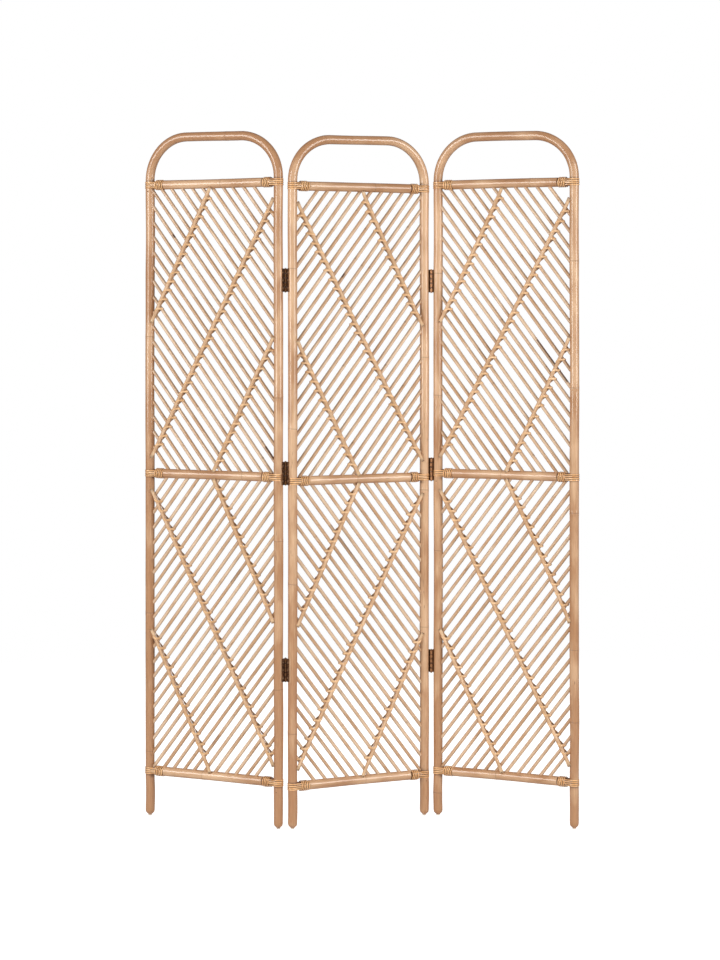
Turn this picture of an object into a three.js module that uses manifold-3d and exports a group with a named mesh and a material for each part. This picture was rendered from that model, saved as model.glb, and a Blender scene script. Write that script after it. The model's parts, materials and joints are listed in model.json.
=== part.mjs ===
// A folding screen of three rattan panels, standing in a zigzag.
// Millimetres, +Z up. The origin is on the floor under the middle panel's centre, the front
// faces -Y, and the line of the screen runs along X.
import * as THREE from 'three';
import { mergeVertices } from 'three/addons/utils/BufferGeometryUtils.js';
import Module from 'manifold-3d';

const wasm = await Module();
wasm.setup();

// ---- Driving dimensions, in millimetres, with angles in degrees ----

const screenHeight = 1800;
const cutOverrun = 1; // of a cutting solid past the face that it cuts
const postSpacing = 386; // between the centres of a panel's two posts
const foldAngle = 27; // each panel's turn away from the line of the screen
const clearance = 0.3; // between pieces that touch

const poleRadius = 12;
const poleSides = 8;
const hoopBendRadius = 110; // at the centre of the bent pole
const hoopBendSteps = 5;

const railRadius = 12;
const railSides = 8;
const railEndRadius = 10.6; // where the rail is dressed down under its binding
const bottomRailHeight = 115;
const middleRailHeight = 900;
const topRailDrop = 140; // of the top rail's centre below the screen's top
const outerRailRise = 5; // of the outer panels' rails over those heights
const middleRailDrop = 5; // of the middle panel's rails under them

const footTipRadius = 6.5;
const footTaperLength = 6;
const glideRadius = 6;
const glideHeight = 3.5;
const glideFlatRadius = 3.6;
const glideShoulder = 2; // the height where it reaches its full width
const glideSides = 8;

const stickRadius = 4.2;
const stickSides = 4;
const stickPitch = 39.5; // from stick to stick, straight up
const stickAngle = 51.9; // from level
const upperStickStart = 5; // the corner stick's offset from the rail, at the post's centre
const lowerStickStart = -4;
const shortestStick = 60;
const battenRadius = 4.5;
const battenSides = 4;
const battenBite = 0.5; // how far a batten and a stick are pressed into each other
const battenInset = 25; // of the long batten's ends from the rails
const stickSetBack = 0.5; // of the sticks' centres behind the panel's middle plane

const peelWidth = 4.1;
const peelThickness = 0.7;
const peelGap = 0.65; // between neighbouring strands and turns
const strandLift = 0.7; // of the flat strands over the rail's round end
const peelLift = 0.6; // of the rail's turns over the strands beneath them
const strandCount = 4; // strands round the post in each binding
const strandRun = 7; // of the strands on the rail, past the post's face
const strandLeave = 1; // from the post's centre, where a strand leaves the post for the rail
const turnSteps = 8; // flats in each turn round the rail
const wrapSteps = 36; // flats in all of a binding's turns

const hingeHeight = 60;
const hingeKnuckles = 5;
const hingeSetOut = 13.6; // of the hinge axis past the post's centre, along the panel
const hingeStandOff = 13.6; // of the hinge axis from the panel's middle plane
const upperHingeHeight = 1412;
const middleHingeRise = 15; // of the middle hinge's centre over the middle rail's
const lowerHingeHeight = 409;
const knuckleRadius = 3.1;
const knuckleSides = 8;
const knuckleBoreRadius = 1.9;
const hingePinRadius = 1.5;
const pinSides = 6;
const pinHeadRadius = 2.4;
const pinHeadHeight = 1.6;
const leafThickness = 1.5;
const leafOffset = 1; // of a leaf's inner face from the hinge axis
const leafOverlap = 5; // of a leaf past the post's middle plane
const leafCornerRadius = 2;

// ---- Places that follow from those sizes ----

const turn = THREE.MathUtils.degToRad;
const postX = postSpacing / 2;
const topRailHeight = screenHeight - topRailDrop;
const middleHingeHeight = middleRailHeight + middleHingeRise;
const octagon = Math.PI / poleSides;
const hoopOverRail = topRailDrop - outerRailRise - poleRadius; // of a hoop's top over its top rail
const footTop = glideHeight + clearance;
const strandPitch = peelWidth + peelGap;
const leafOuterFace = hingeSetOut - leafOffset - leafThickness;
const hingeSeat = leafOuterFace - clearance; // the post's flat, from its centre
const knuckleHeight = hingeHeight / hingeKnuckles;

// The rails of a panel whose rails stand the given rise over the common heights.
const railsAt = (rise) => [
  { level: 'top', height: topRailHeight + rise },
  { level: 'middle', height: middleRailHeight + rise },
  { level: 'bottom', height: bottomRailHeight + rise },
];
const hinges = [
  { level: 'upper', height: upperHingeHeight },
  { level: 'middle', height: middleHingeHeight },
  { level: 'lower', height: lowerHingeHeight },
];

// ---- Materials ----

const finish = (color, roughness, metalness = 0) =>
  new THREE.MeshStandardMaterial({ color, roughness, metalness });
const poleFinish = finish(0xc5966a, 0.35);
const stickFinish = finish(0xd8b48a, 0.45);
const peelFinish = finish(0xd2a066, 0.35);
const hingeFinish = finish(0x5b4330, 0.4, 0.85);
const pinFinish = finish(0x7a5a36, 0.35, 0.85);
const glideFinish = finish(0xd9cfc6, 0.5);

// ---- Solids ----

// A closed geometry as a solid that can be joined and cut.
function solid(geometry) {
  const bare = new THREE.BufferGeometry();
  bare.setAttribute('position', geometry.getAttribute('position'));
  bare.setIndex(geometry.index);
  const merged = mergeVertices(bare, 1e-4);
  const made = new wasm.Manifold(
    new wasm.Mesh({
      numProp: 3,
      vertProperties: merged.attributes.position.array,
      triVerts: new Uint32Array(merged.index.array),
    }),
  );
  return made;
}

// A named mesh of a solid.
function piece(name, made, material) {
  const { vertProperties, triVerts } = made.getMesh();
  const geometry = new THREE.BufferGeometry();
  geometry.setAttribute('position', new THREE.BufferAttribute(vertProperties, 3));
  geometry.setIndex(new THREE.BufferAttribute(triVerts, 1));
  const faceted = geometry.toNonIndexed();
  faceted.computeVertexNormals();
  const mesh = new THREE.Mesh(faceted, material);
  mesh.name = name;
  return mesh;
}

// A box from its lowest corner to its highest.
function box(low, high) {
  const size = high.map((value, i) => value - low[i]);
  const geometry = new THREE.BoxGeometry(...size);
  geometry.translate(...low.map((value, i) => value + size[i] / 2));
  return solid(geometry);
}

// An upright cylinder of the posts' own section, about the point (x, 0), over a span of heights.
function uprightCylinder(radius, sides, x, low, high) {
  const geometry = new THREE.CylinderGeometry(radius, radius, high - low, sides);
  geometry.rotateX(Math.PI / 2);
  geometry.translate(x, 0, (low + high) / 2);
  return solid(geometry);
}

// A solid of revolution about the vertical, from [radius, height] pairs.
function turned(profile, sides) {
  const points = profile.map(([r, z]) => new THREE.Vector2(r, z));
  const geometry = new THREE.LatheGeometry(points, sides);
  geometry.rotateX(Math.PI / 2);
  return solid(geometry);
}

// A regular polygon with one corner at the given angle.
function polygon(radius, sides, firstAngle) {
  const corners = Array.from({ length: sides }, (_, i) => {
    const angle = firstAngle + (i * 2 * Math.PI) / sides;
    return new THREE.Vector2(radius * Math.cos(angle), radius * Math.sin(angle));
  });
  return new THREE.Shape(corners);
}

// ---- Hoop ----

// The centre line of the bent pole: up one post, round, over the top and down the other.
// Its parameter gives one step to each straight and hoopBendSteps to each bend.
class HoopLine extends THREE.Curve {
  steps = 2 * hoopBendSteps + 3;

  constructor(top) {
    super();
    this.bendStart = top - hoopBendRadius;
  }

  getUtoTmapping(u) {
    return u;
  }

  place(t) {
    const station = Math.min(t, 1 - t) * this.steps;
    const side = t <= 0.5 ? -1 : 1;
    const legSteps = 1;
    const bent = THREE.MathUtils.clamp((station - legSteps) / hoopBendSteps, 0, 1);
    const angle = (bent * Math.PI) / 2;
    return { station, side, angle, legSteps };
  }

  getPoint(t, target = new THREE.Vector3()) {
    const { station, side, angle, legSteps } = this.place(t);
    if (station < legSteps) {
      const rise = this.bendStart - footTop;
      return target.set(side * postX, 0, footTop + rise * station);
    }
    const across = postX - hoopBendRadius * (1 - Math.cos(angle));
    const height = this.bendStart + hoopBendRadius * Math.sin(angle);
    return target.set(side * across, 0, height);
  }

  getTangent(t, target = new THREE.Vector3()) {
    const { side, angle } = this.place(t);
    return target.set(Math.sin(angle), 0, -side * Math.cos(angle));
  }
}

// A ring that leaves a leg's end tapered when it is cut away.
function footCutter(x) {
  const overrun = cutOverrun;
  const lean = (poleRadius - footTipRadius) / footTaperLength;
  const taper = (rise) => footTipRadius + lean * rise;
  const top = footTaperLength + overrun;
  const outside = 2 * poleRadius;
  const profile = [
    [taper(-overrun), footTop - overrun],
    [outside, footTop - overrun],
    [outside, footTop + top],
    [taper(top), footTop + top],
    [taper(-overrun), footTop - overrun],
  ];
  return turned(profile, poleSides).translate([x, 0, 0]);
}

// The flat cut in a post for a hinge leaf, deeper where strands of peel pass under the leaf.
function seatCutter(side, hinge) {
  const reach = hingeHeight / 2 + clearance;
  const far = 2 * poleRadius;
  const span = [side * (postX + hingeSeat), side * (postX + far)];
  const [low, high] = span.sort((a, b) => a - b);
  return box([low, -far, hinge.height - reach], [high, far, hinge.height + reach]);
}

// The groove in a post for strands that pass under a hinge leaf.
function strandCutter(side, rail) {
  const reach = (strandCount * strandPitch) / 2 + clearance;
  const far = 2 * poleRadius;
  const bottom = hingeSeat - peelThickness - clearance;
  const [low, high] = [side * (postX + bottom), side * (postX + far)].sort((a, b) => a - b);
  return box([low, -far, rail.height - reach], [high, far, rail.height + reach]);
}

// True where a hinge covers a binding's strands.
function hingeCovers(rail) {
  const reach = (hingeHeight + strandCount * strandPitch) / 2;
  return hinges.some(({ height }) => Math.abs(height - rail.height) < reach);
}

function hoop(hingedSides, rails) {
  const line = new HoopLine(rails[0].height + hoopOverRail);
  const section = polygon(poleRadius, poleSides, 0);
  const options = { steps: line.steps, extrudePath: line, bevelEnabled: false };
  let made = solid(new THREE.ExtrudeGeometry(section, options));
  for (const side of [-1, 1]) made = made.subtract(footCutter(side * postX));
  for (const side of hingedSides) {
    for (const hinge of hinges) made = made.subtract(seatCutter(side, hinge));
    for (const rail of rails.filter(hingeCovers)) made = made.subtract(strandCutter(side, rail));
  }
  return made;
}

// ---- Rails ----

// The far end of a binding's turns, from the post's centre.
const strandEnd = poleRadius + strandRun;
const wrapReach = strandEnd + peelWidth / 2 + ((wrapSteps + 1) / turnSteps) * strandPitch;
const bindingEnd = wrapReach + peelWidth / 2 + clearance;

// A rail lies across the panel, dressed down at both ends and hollowed to fit the posts.
function rail(height) {
  const fullRadius = railRadius / Math.cos(Math.PI / railSides);
  const shoulder = postX - bindingEnd;
  const profile = [
    [0, -postX],
    [railEndRadius, -postX],
    [railEndRadius, -shoulder],
    [fullRadius, -shoulder],
    [fullRadius, shoulder],
    [railEndRadius, shoulder],
    [railEndRadius, postX],
    [0, postX],
  ];
  const halfSide = 180 / railSides;
  let made = turned(profile, railSides).rotate([0, 0, halfSide]).rotate([0, 90, 0]);
  const reach = 2 * railRadius;
  for (const side of [-1, 1]) {
    const post = uprightCylinder(poleRadius + clearance, poleSides, side * postX, -reach, reach);
    made = made.subtract(post);
  }
  return made.translate([0, 0, height]);
}

// ---- Lattices ----

// A straight bar between two points of the panel, with one corner of its section towards
// the front (-1) or the back (1). trim, where given, moves each long edge's two ends.
function bar(from, to, radius, sides, ridge, trim) {
  const back = new THREE.Vector3(0, 1, 0);
  const dir = new THREE.Vector3().subVectors(to, from).normalize();
  const across = new THREE.Vector3().crossVectors(back, dir);
  const rings = [[], []];
  for (const corner of polygon(radius, sides, (ridge * Math.PI) / 2).getPoints()) {
    const offset = across.clone().multiplyScalar(corner.x).addScaledVector(back, corner.y);
    const ends = [from.clone().add(offset), to.clone().add(offset)];
    const [start, end] = trim ? trim(ends, dir) : ends;
    rings[0].push(start);
    rings[1].push(end);
  }
  return skin(rings);
}

// The closed skin over rings of points, each ring with as many points as the next.
function skin(rings) {
  const corners = rings[0].length;
  const index = [];
  for (let i = 0; i < rings.length - 1; i += 1) {
    for (let k = 0; k < corners; k += 1) {
      const a = i * corners + k;
      const b = i * corners + ((k + 1) % corners);
      index.push(a, b, a + corners, b, b + corners, a + corners);
    }
  }
  const last = (rings.length - 1) * corners;
  for (let k = 1; k < corners - 1; k += 1) {
    index.push(0, k + 1, k);
    index.push(last, last + k, last + k + 1);
  }
  const geometry = new THREE.BufferGeometry().setFromPoints(rings.flat());
  geometry.setIndex(index);
  return solid(geometry);
}

// One grille between two rails. p runs from the post where its corner stick starts, and q
// from the rail there. lean is 1 where p runs to the right, rise 1 where q runs up.
function lattice(startRail, endRail, lean, rise, start) {
  const spanQ = Math.abs(endRail - startRail);
  const slope = Math.tan(turn(stickAngle));
  const at = (p, q, y) => new THREE.Vector3(lean * (p - postX), y, startRail + rise * q);
  const [low, high] = [startRail, endRail].sort((a, b) => a - b);
  const inset = poleRadius + clearance;
  const railInset = railRadius + clearance;
  const window = new THREE.Box3(
    new THREE.Vector3(inset - postX, -postX, low + railInset),
    new THREE.Vector3(postX - inset, postX, high - railInset),
  );
  // Each long edge of a stick ends where it meets the window between posts and rails.
  const trim = ([from, to], dir) => {
    const edge = (place, heading) => {
      const outside = place.clone().addScaledVector(heading, -screenHeight);
      return new THREE.Ray(outside, heading).intersectBox(window, new THREE.Vector3());
    };
    return [edge(from, dir), edge(to, dir.clone().negate())];
  };

  const sticks = [];
  const first = -Math.ceil((slope * postSpacing) / stickPitch);
  const last = Math.ceil(spanQ / stickPitch);
  for (let i = first; i <= last; i += 1) {
    const crossing = start + i * stickPitch;
    const pLow = Math.max(inset, (railInset - crossing) / slope);
    const pHigh = Math.min(postSpacing - inset, (spanQ - railInset - crossing) / slope);
    if ((pHigh - pLow) / Math.cos(turn(stickAngle)) < shortestStick) continue;
    const ends = [-postSpacing, 2 * postSpacing];
    const [from, to] = ends.map((p) => at(p, crossing + slope * p, stickSetBack));
    sticks.push(bar(from, to, stickRadius, stickSides, -1, trim));
  }
  let grille = wasm.Manifold.union(sticks);

  const battenY = stickSetBack - stickRadius + battenBite - battenRadius;
  const middleQ = spanQ / 2;
  const battens = [
    [[postX, 0], [0, middleQ]],
    [[postSpacing, battenInset], [0, spanQ - battenInset]],
    [[postSpacing, middleQ], [postX, spanQ]],
  ];
  for (const places of battens) {
    const [from, to] = places.map((place) => at(...place, battenY));
    grille = grille.add(bar(from, to, battenRadius, battenSides, 1, trim));
  }
  return grille.subtract(railEnvelope(low)).subtract(railEnvelope(high));
}

// The space that a rail and its two bindings take, with the clearance round them.
function railEnvelope(height) {
  const halfSide = Math.PI / railSides;
  const radius = (railRadius + clearance) / Math.cos(halfSide);
  const wrapRadius = wrapOuterFlat + clearance;
  const core = new THREE.CylinderGeometry(
    radius,
    radius,
    postSpacing,
    railSides,
    1,
    false,
    halfSide,
  );
  core.rotateZ(Math.PI / 2);
  let made = solid(core);
  for (const side of [-1, 1]) {
    const ends = [side * (postX - bindingEnd), side * postX].sort((a, b) => a - b);
    const low = [ends[0], -wrapRadius, -wrapRadius];
    const high = [ends[1], wrapRadius, wrapRadius];
    made = made.add(box(low, high));
  }
  return made.translate([0, 0, height]);
}

// ---- Bindings ----

// Levels of the peel: round the post, along the rail, and in the turns over those strands.
const postStrandFlat = poleRadius + clearance + peelThickness / 2;
const railStrandLevel = railEndRadius + strandLift + peelThickness / 2;
const wrapFlat = railStrandLevel + peelLift + peelThickness;
const wrapOuterFlat = wrapFlat + peelThickness / 2;

// The route of one binding's peel, with the post at the origin and the rail along +X: round
// the post and back in strandCount strands, along the rail, and back over it in turns.
// Each stop has a place and the direction that the peel's outer face looks in.
function bindingRoute(seatDepth) {
  const stops = [];
  const stop = (x, y, z, facing) =>
    stops.push({ place: new THREE.Vector3(x, y, z), facing: facing.clone() });
  const corner = postStrandFlat * Math.tan(octagon);
  const outer = postStrandFlat - seatDepth;

  // On the rail, at an angle up from the front, over the rail's surface.
  const onRail = (x, angle, radius) => {
    const facing = new THREE.Vector3(0, -Math.cos(angle), Math.sin(angle));
    stop(x, radius * facing.y, radius * facing.z, facing);
  };
  // Round the post, at one height; side is -1 in front and 1 behind.
  const roundPost = (height, side) => {
    const straight = new THREE.Vector3(0, side, 0);
    const slanted = new THREE.Vector3(-1, side, 0).normalize(); // on the pole's slanted flat
    stop(strandLeave, side * postStrandFlat, height, straight);
    stop(-corner, side * postStrandFlat, height, slanted);
    stop(-outer, side * (corner + seatDepth), height, slanted);
  };

  const angleOf = (height, side) => {
    const up = Math.asin(height / railStrandLevel);
    return side < 0 ? up : Math.PI - up;
  };
  for (let i = 0; i < strandCount; i += 1) {
    const height = (i - (strandCount - 1) / 2) * strandPitch;
    const side = i % 2 ? -1 : 1;
    onRail(strandEnd, angleOf(height, side), railStrandLevel);
    roundPost(height, side);
    const kept = stops.length;
    roundPost(height, -side);
    stops.push(...stops.splice(kept).reverse());
    onRail(strandEnd, angleOf(height, -side), railStrandLevel);
  }

  // The last strand runs on along the back of the rail, and returns over it in turns.
  const lastHeight = ((strandCount - 1) / 2) * strandPitch;
  const lastAngle = angleOf(lastHeight, 1);
  onRail(wrapReach, lastAngle, railStrandLevel);
  const firstCorner = Math.PI / 2 + octagon;
  const wrapRadius = wrapFlat / Math.cos(Math.PI / turnSteps);
  for (let i = 0; i <= wrapSteps; i += 1) {
    const x = wrapReach - ((i + 1) / turnSteps) * strandPitch;
    onRail(x, firstCorner - (i * 2 * Math.PI) / turnSteps, wrapRadius);
  }
  return stops;
}

// A strip of peel along a route: a flat underside and one ridge, mitred at every stop.
// Returns the rings of its section: two edges and the ridge at each stop.
function peelRings(stops) {
  const runs = stops.slice(1).map((next, i) => {
    const along = next.place.clone().sub(stops[i].place).normalize();
    const out = next.facing.clone().add(stops[i].facing);
    out.addScaledVector(along, -out.dot(along)).normalize();
    return { out, across: along.clone().cross(out) };
  });
  const mitre = (a, b) => a.clone().add(b).divideScalar(1 + a.dot(b));
  return stops.map(({ place }, i) => {
    const before = runs[Math.max(i - 1, 0)];
    const after = runs[Math.min(i, runs.length - 1)];
    const across = mitre(before.across, after.across).multiplyScalar(peelWidth / 2);
    const out = mitre(before.out, after.out).multiplyScalar(peelThickness / 2);
    const underside = place.clone().sub(out);
    return [underside.clone().add(across), underside.clone().sub(across), place.clone().add(out)];
  });
}

// The least gap between stretches of a winding that are not neighbours along it, measured
// between points of its two edges, its ridge and the middle of its underside.
function leastSelfGap(rings) {
  const spacing = 1.5; // of the points along the winding
  const apart = 3 * peelWidth; // along it, before two stretches count as not neighbours
  const points = [];
  let travelled = 0;
  for (let i = 0; i < rings.length - 1; i += 1) {
    const lines = [rings[i], rings[i + 1]].map(([left, right, ridge]) => [
      left,
      right,
      ridge,
      left.clone().lerp(right, 0.5),
    ]);
    const length = lines[0][2].distanceTo(lines[1][2]);
    const count = Math.max(1, Math.ceil(length / spacing));
    for (let k = 0; k < count; k += 1) {
      lines[0].forEach((from, line) => {
        const place = from.clone().lerp(lines[1][line], k / count);
        points.push({ place, along: travelled + (length * k) / count });
      });
    }
    travelled += length;
  }
  let least = Infinity;
  points.forEach((one, i) => {
    for (let k = i + 1; k < points.length; k += 1) {
      const other = points[k];
      if (other.along - one.along < apart) continue;
      least = Math.min(least, one.place.distanceTo(other.place));
    }
  });
  return least;
}

const openRings = peelRings(bindingRoute(0));
const seatedRings = peelRings(bindingRoute(postStrandFlat + peelThickness / 2 - hingeSeat));
console.log('binding: least gap to itself', leastSelfGap(openRings).toFixed(2), 'mm');
console.log('binding under a hinge: least gap', leastSelfGap(seatedRings).toFixed(2), 'mm');
const openBinding = skin(openRings);
const seatedBinding = skin(seatedRings);

// ---- Hinges ----

// A hinge leaf about its own axis, with its plate towards -Y on the given side of the axis
// and its knuckles in every second place from the first.
function leaf(side, firstKnuckle) {
  const reach = hingeStandOff + leafOverlap;
  const plate = new THREE.Shape();
  const half = hingeHeight / 2;
  plate.moveTo(0, -half);
  plate.lineTo(0, half);
  plate.lineTo(leafCornerRadius - reach, half);
  plate.lineTo(-reach, half - leafCornerRadius);
  plate.lineTo(-reach, leafCornerRadius - half);
  plate.lineTo(leafCornerRadius - reach, -half);
  const geometry = new THREE.ExtrudeGeometry(plate, { depth: leafThickness, bevelEnabled: false });
  // The outline's x becomes -Y outwards from the axis, its y the height.
  geometry.applyMatrix4(
    new THREE.Matrix4().makeBasis(
      new THREE.Vector3(0, 1, 0),
      new THREE.Vector3(0, 0, 1),
      new THREE.Vector3(1, 0, 0),
    ),
  );
  const inner = side > 0 ? leafOffset : -leafOffset - leafThickness;
  let made = solid(geometry.translate(inner, 0, 0));
  const gap = clearance / 2;
  for (let i = 0; i < hingeKnuckles; i += 1) {
    const low = -half + i * knuckleHeight;
    const high = low + knuckleHeight;
    const own = i % 2 === firstKnuckle;
    if (own) {
      const trim = [i ? low + gap : low, i < hingeKnuckles - 1 ? high - gap : high];
      made = made.add(uprightCylinder(knuckleRadius, knuckleSides, 0, ...trim));
    } else {
      const roomRadius = (knuckleRadius + clearance) / Math.cos(Math.PI / knuckleSides);
      const room = uprightCylinder(roomRadius, knuckleSides, 0, low - gap, high + gap);
      made = made.subtract(room);
    }
  }
  const boreEnd = half + cutOverrun;
  return made.subtract(uprightCylinder(knuckleBoreRadius, pinSides, 0, -boreEnd, boreEnd));
}

// The pin, with a pointed button head at each end.
function hingePin() {
  const shoulder = hingeHeight / 2 + clearance;
  const top = shoulder + pinHeadHeight;
  const profile = [
    [0, -top],
    [pinHeadRadius, -shoulder],
    [hingePinRadius, -shoulder],
    [hingePinRadius, shoulder],
    [pinHeadRadius, shoulder],
    [0, top],
  ];
  return turned(profile, pinSides);
}

const outerLeaf = leaf(-1, 0);
const middleLeaf = leaf(1, 1);
const pin = hingePin();

// ---- Glides ----

function glide() {
  const profile = [
    [0, 0],
    [glideFlatRadius, 0],
    [glideRadius, glideShoulder],
    [glideRadius, glideHeight],
    [0, glideHeight],
  ];
  return turned(profile, glideSides);
}

const glideSolid = glide();

// ---- Panels ----

// One panel about its own middle. lean is 1 where the upper sticks start at the left post,
// hingedSides lists the sides that carry hinges, -1 left and 1 right, and railRise lifts
// the rails with all that they carry, and the hoop's top.
function panel(name, lean, hingedSides, railRise) {
  const group = new THREE.Group();
  const rails = railsAt(railRise);
  group.add(piece(`${name}_hoop`, hoop(hingedSides, rails), poleFinish));
  for (const { level, height } of rails) {
    group.add(piece(`${name}_${level}_rail`, rail(height), poleFinish));
  }
  const [top, middle, bottom] = rails.map(({ height }) => height);
  const upper = lattice(top, middle, lean, -1, upperStickStart);
  const lower = lattice(bottom, middle, lean, 1, lowerStickStart);
  group.add(piece(`${name}_upper_lattice`, upper, stickFinish));
  group.add(piece(`${name}_lower_lattice`, lower, stickFinish));

  for (const side of [-1, 1]) {
    const word = side < 0 ? 'left' : 'right';
    for (const place of rails) {
      const seated = hingedSides.includes(side) && hingeCovers(place);
      const made = seated ? seatedBinding : openBinding;
      const binding = piece(`${name}_${place.level}_${word}_binding`, made, peelFinish);
      binding.position.set(side * postX, 0, place.height);
      binding.rotation.z = side < 0 ? 0 : Math.PI;
      group.add(binding);
    }
    const foot = piece(`${name}_${word}_glide`, glideSolid, glideFinish);
    foot.position.x = side * postX;
    group.add(foot);
  }
  return group;
}

const leftPanel = panel('left_panel', 1, [1], outerRailRise);
const middlePanel = panel('middle_panel', -1, [-1, 1], -middleRailDrop);
const rightPanel = panel('right_panel', 1, [-1], outerRailRise);

// The hinge axis in the frames of the left panel and the middle panel.
const axisX = postX + hingeSetOut;
const leftAxis = new THREE.Vector3(axisX, hingeStandOff, 0);
const middleAxis = new THREE.Vector3(-axisX, hingeStandOff, 0);

// Three hinges on each joint. The left joint has its knuckles at the back of the screen and
// the right joint at the front: the same hinge, half a turn round.
for (const { level, height } of hinges) {
  for (const [word, outerPanel, halfTurns] of [
    ['left', leftPanel, 0],
    ['right', rightPanel, 1],
  ]) {
    const name = `${word}_${level}_hinge`;
    const facing = halfTurns * Math.PI;
    const up = new THREE.Vector3(0, 0, 1);
    const parts = [
      [piece(`${name}_outer_leaf`, outerLeaf, hingeFinish), outerPanel, leftAxis],
      [piece(`${name}_middle_leaf`, middleLeaf, hingeFinish), middlePanel, middleAxis],
      [piece(`${name}_pin`, pin, pinFinish), middlePanel, middleAxis],
    ];
    for (const [part, carrier, axis] of parts) {
      part.position.copy(axis).applyAxisAngle(up, facing).setZ(height);
      part.rotation.z = facing;
      carrier.add(part);
    }
  }
}

// ---- The screen, standing in its zigzag ----

const up = new THREE.Vector3(0, 0, 1);
const fold = turn(foldAngle);
const jointPlace = middleAxis.clone().applyAxisAngle(up, fold);
const leftPlace = jointPlace.clone().sub(leftAxis.clone().applyAxisAngle(up, -fold));
middlePanel.rotation.z = fold;
leftPanel.rotation.z = -fold;
leftPanel.position.copy(leftPlace);
rightPanel.rotation.z = -fold;
rightPanel.position.copy(leftPlace).negate();
console.log('hinge axis at', jointPlace.toArray().map((v) => v.toFixed(3)).join(', '));

const screen = new THREE.Group();
screen.add(leftPanel, middlePanel, rightPanel);

export default screen;
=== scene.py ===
# %% [markdown]
# # A folding screen of bent rattan
# The real screen is three panels. Each is one long pole bent into a hoop, with three rails
# across it, two lattices of thin sticks, and glossy peel wound round every joint. The frame
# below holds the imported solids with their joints. Here each of them gets the round, fibrous,
# slightly crooked form and the varnished finish of real cane.

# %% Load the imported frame
import json

import bpy
import numpy as np
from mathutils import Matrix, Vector


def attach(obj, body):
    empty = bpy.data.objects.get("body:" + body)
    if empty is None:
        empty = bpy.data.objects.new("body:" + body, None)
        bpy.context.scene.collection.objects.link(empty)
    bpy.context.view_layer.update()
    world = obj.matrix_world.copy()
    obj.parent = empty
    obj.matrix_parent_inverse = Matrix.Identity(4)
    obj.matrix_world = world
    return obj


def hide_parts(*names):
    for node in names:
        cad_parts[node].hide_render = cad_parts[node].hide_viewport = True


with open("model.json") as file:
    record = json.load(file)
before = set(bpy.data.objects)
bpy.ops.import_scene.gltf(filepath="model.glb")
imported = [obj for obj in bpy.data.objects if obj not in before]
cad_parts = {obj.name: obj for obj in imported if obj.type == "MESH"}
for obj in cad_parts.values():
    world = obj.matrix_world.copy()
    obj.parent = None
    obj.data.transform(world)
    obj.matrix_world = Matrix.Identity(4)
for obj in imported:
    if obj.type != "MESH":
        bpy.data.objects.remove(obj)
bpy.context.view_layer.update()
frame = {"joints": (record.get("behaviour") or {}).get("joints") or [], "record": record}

# %% [markdown]
# ## Sizes
# A size that the solids already settle is repeated here in metres, under a plain name. Places
# aren't repeated: the record lists the spot under each post, and those spots give every panel
# its middle and its direction, so the pieces follow the solids if the screen is refolded.

# %% Sizes in metres, and each panel's own directions
MM = 0.001
POLE = 12 * MM  # radius of the posts and rails
BEND_RADIUS = 110 * MM
FOOT_TOP = 3.8 * MM
RAIL_HEIGHTS = {"top": 1660 * MM, "middle": 900 * MM, "bottom": 115 * MM}
RAIL_RISES = {"left_panel": 5 * MM, "middle_panel": -5 * MM, "right_panel": 5 * MM}
HOOP_OVER_RAIL = 123 * MM  # of a hoop's top over its top rail, both at the pole's centre
HINGE_HEIGHTS = {"upper": 1412 * MM, "middle": 915 * MM, "lower": 409 * MM}
HINGE_OUT = 13.6 * MM  # of a hinge's axis, past the post and away from the panel's plane
HINGE_HALF = 30 * MM
SEAT = 10.8 * MM  # a post's flat under a hinge leaf, from its centre
GROOVE = 9.8 * MM  # and where strands of peel pass under the leaf
GROOVE_HALF = 9.8 * MM  # of that groove's height
FIT = 0.3 * MM  # left between pieces that touch

feet = {spot["name"]: np.array(spot["pos_m"]) for spot in frame["record"]["mounts"]}
PANELS = {}
for panel_name in ("left_panel", "middle_panel", "right_panel"):
    left, right = (feet[f"{panel_name}_{side}_foot"] for side in ("left", "right"))
    across = (right - left) / np.linalg.norm(right - left)
    PANELS[panel_name] = {
        "middle": (left + right) / 2,
        "axes": np.array([across, [-across[1], across[0], 0], [0, 0, 1]]),
        "mirror": -1 if panel_name == "middle_panel" else 1,
        "rails": {level: height + RAIL_RISES[panel_name] for level, height in RAIL_HEIGHTS.items()},
    }
    top_rail = PANELS[panel_name]["rails"]["top"]
    PANELS[panel_name]["bend_start"] = top_rail + HOOP_OVER_RAIL - BEND_RADIUS
POST_SPACING = float(np.linalg.norm(right - left))
POST_X = POST_SPACING / 2
HINGED = {"left_panel": [1], "middle_panel": [-1, 1], "right_panel": [-1]}
SIDES = {"left": -1, "right": 1}


def to_world(panel, local):
    """Panel-local points (along the panel, back, up) turned and moved to the frame."""
    return local @ PANELS[panel]["axes"] + PANELS[panel]["middle"]


print(f"posts {POST_SPACING:.3f} m apart")

# %% [markdown]
# ## One way to make almost everything
# A pole, a stick and a strip of peel are the same kind of thing: a cross-section carried along
# a path. A curve object with a bevel would do that too, but numpy arrays also let a radius
# swell at a growth ring, a flat be cut for a hinge, and marks be written where they belong.
# So `sweep` works out whole grids of points, for many paths at once.

# %% Sections, sweeping and closing
def round_section(sides):
    """A unit circle as (across, out) pairs: angle a gives (sin a, cos a)."""
    angle = np.arange(sides) * 2 * np.pi / sides
    return np.stack([np.sin(angle), np.cos(angle)], axis=1)


# Split peel is flat underneath and domed outside, with thin edges.
HALF_PEEL = [[0.45, 0.84], [0.8, 0.35], [1, -0.4], [0.85, -1]]
PEEL_SECTION = np.array([[0, 1], *HALF_PEEL, *([-across, out] for across, out in HALF_PEEL[::-1])])
peel_edge = np.abs(PEEL_SECTION[:, 0]) > 0.82


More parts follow.
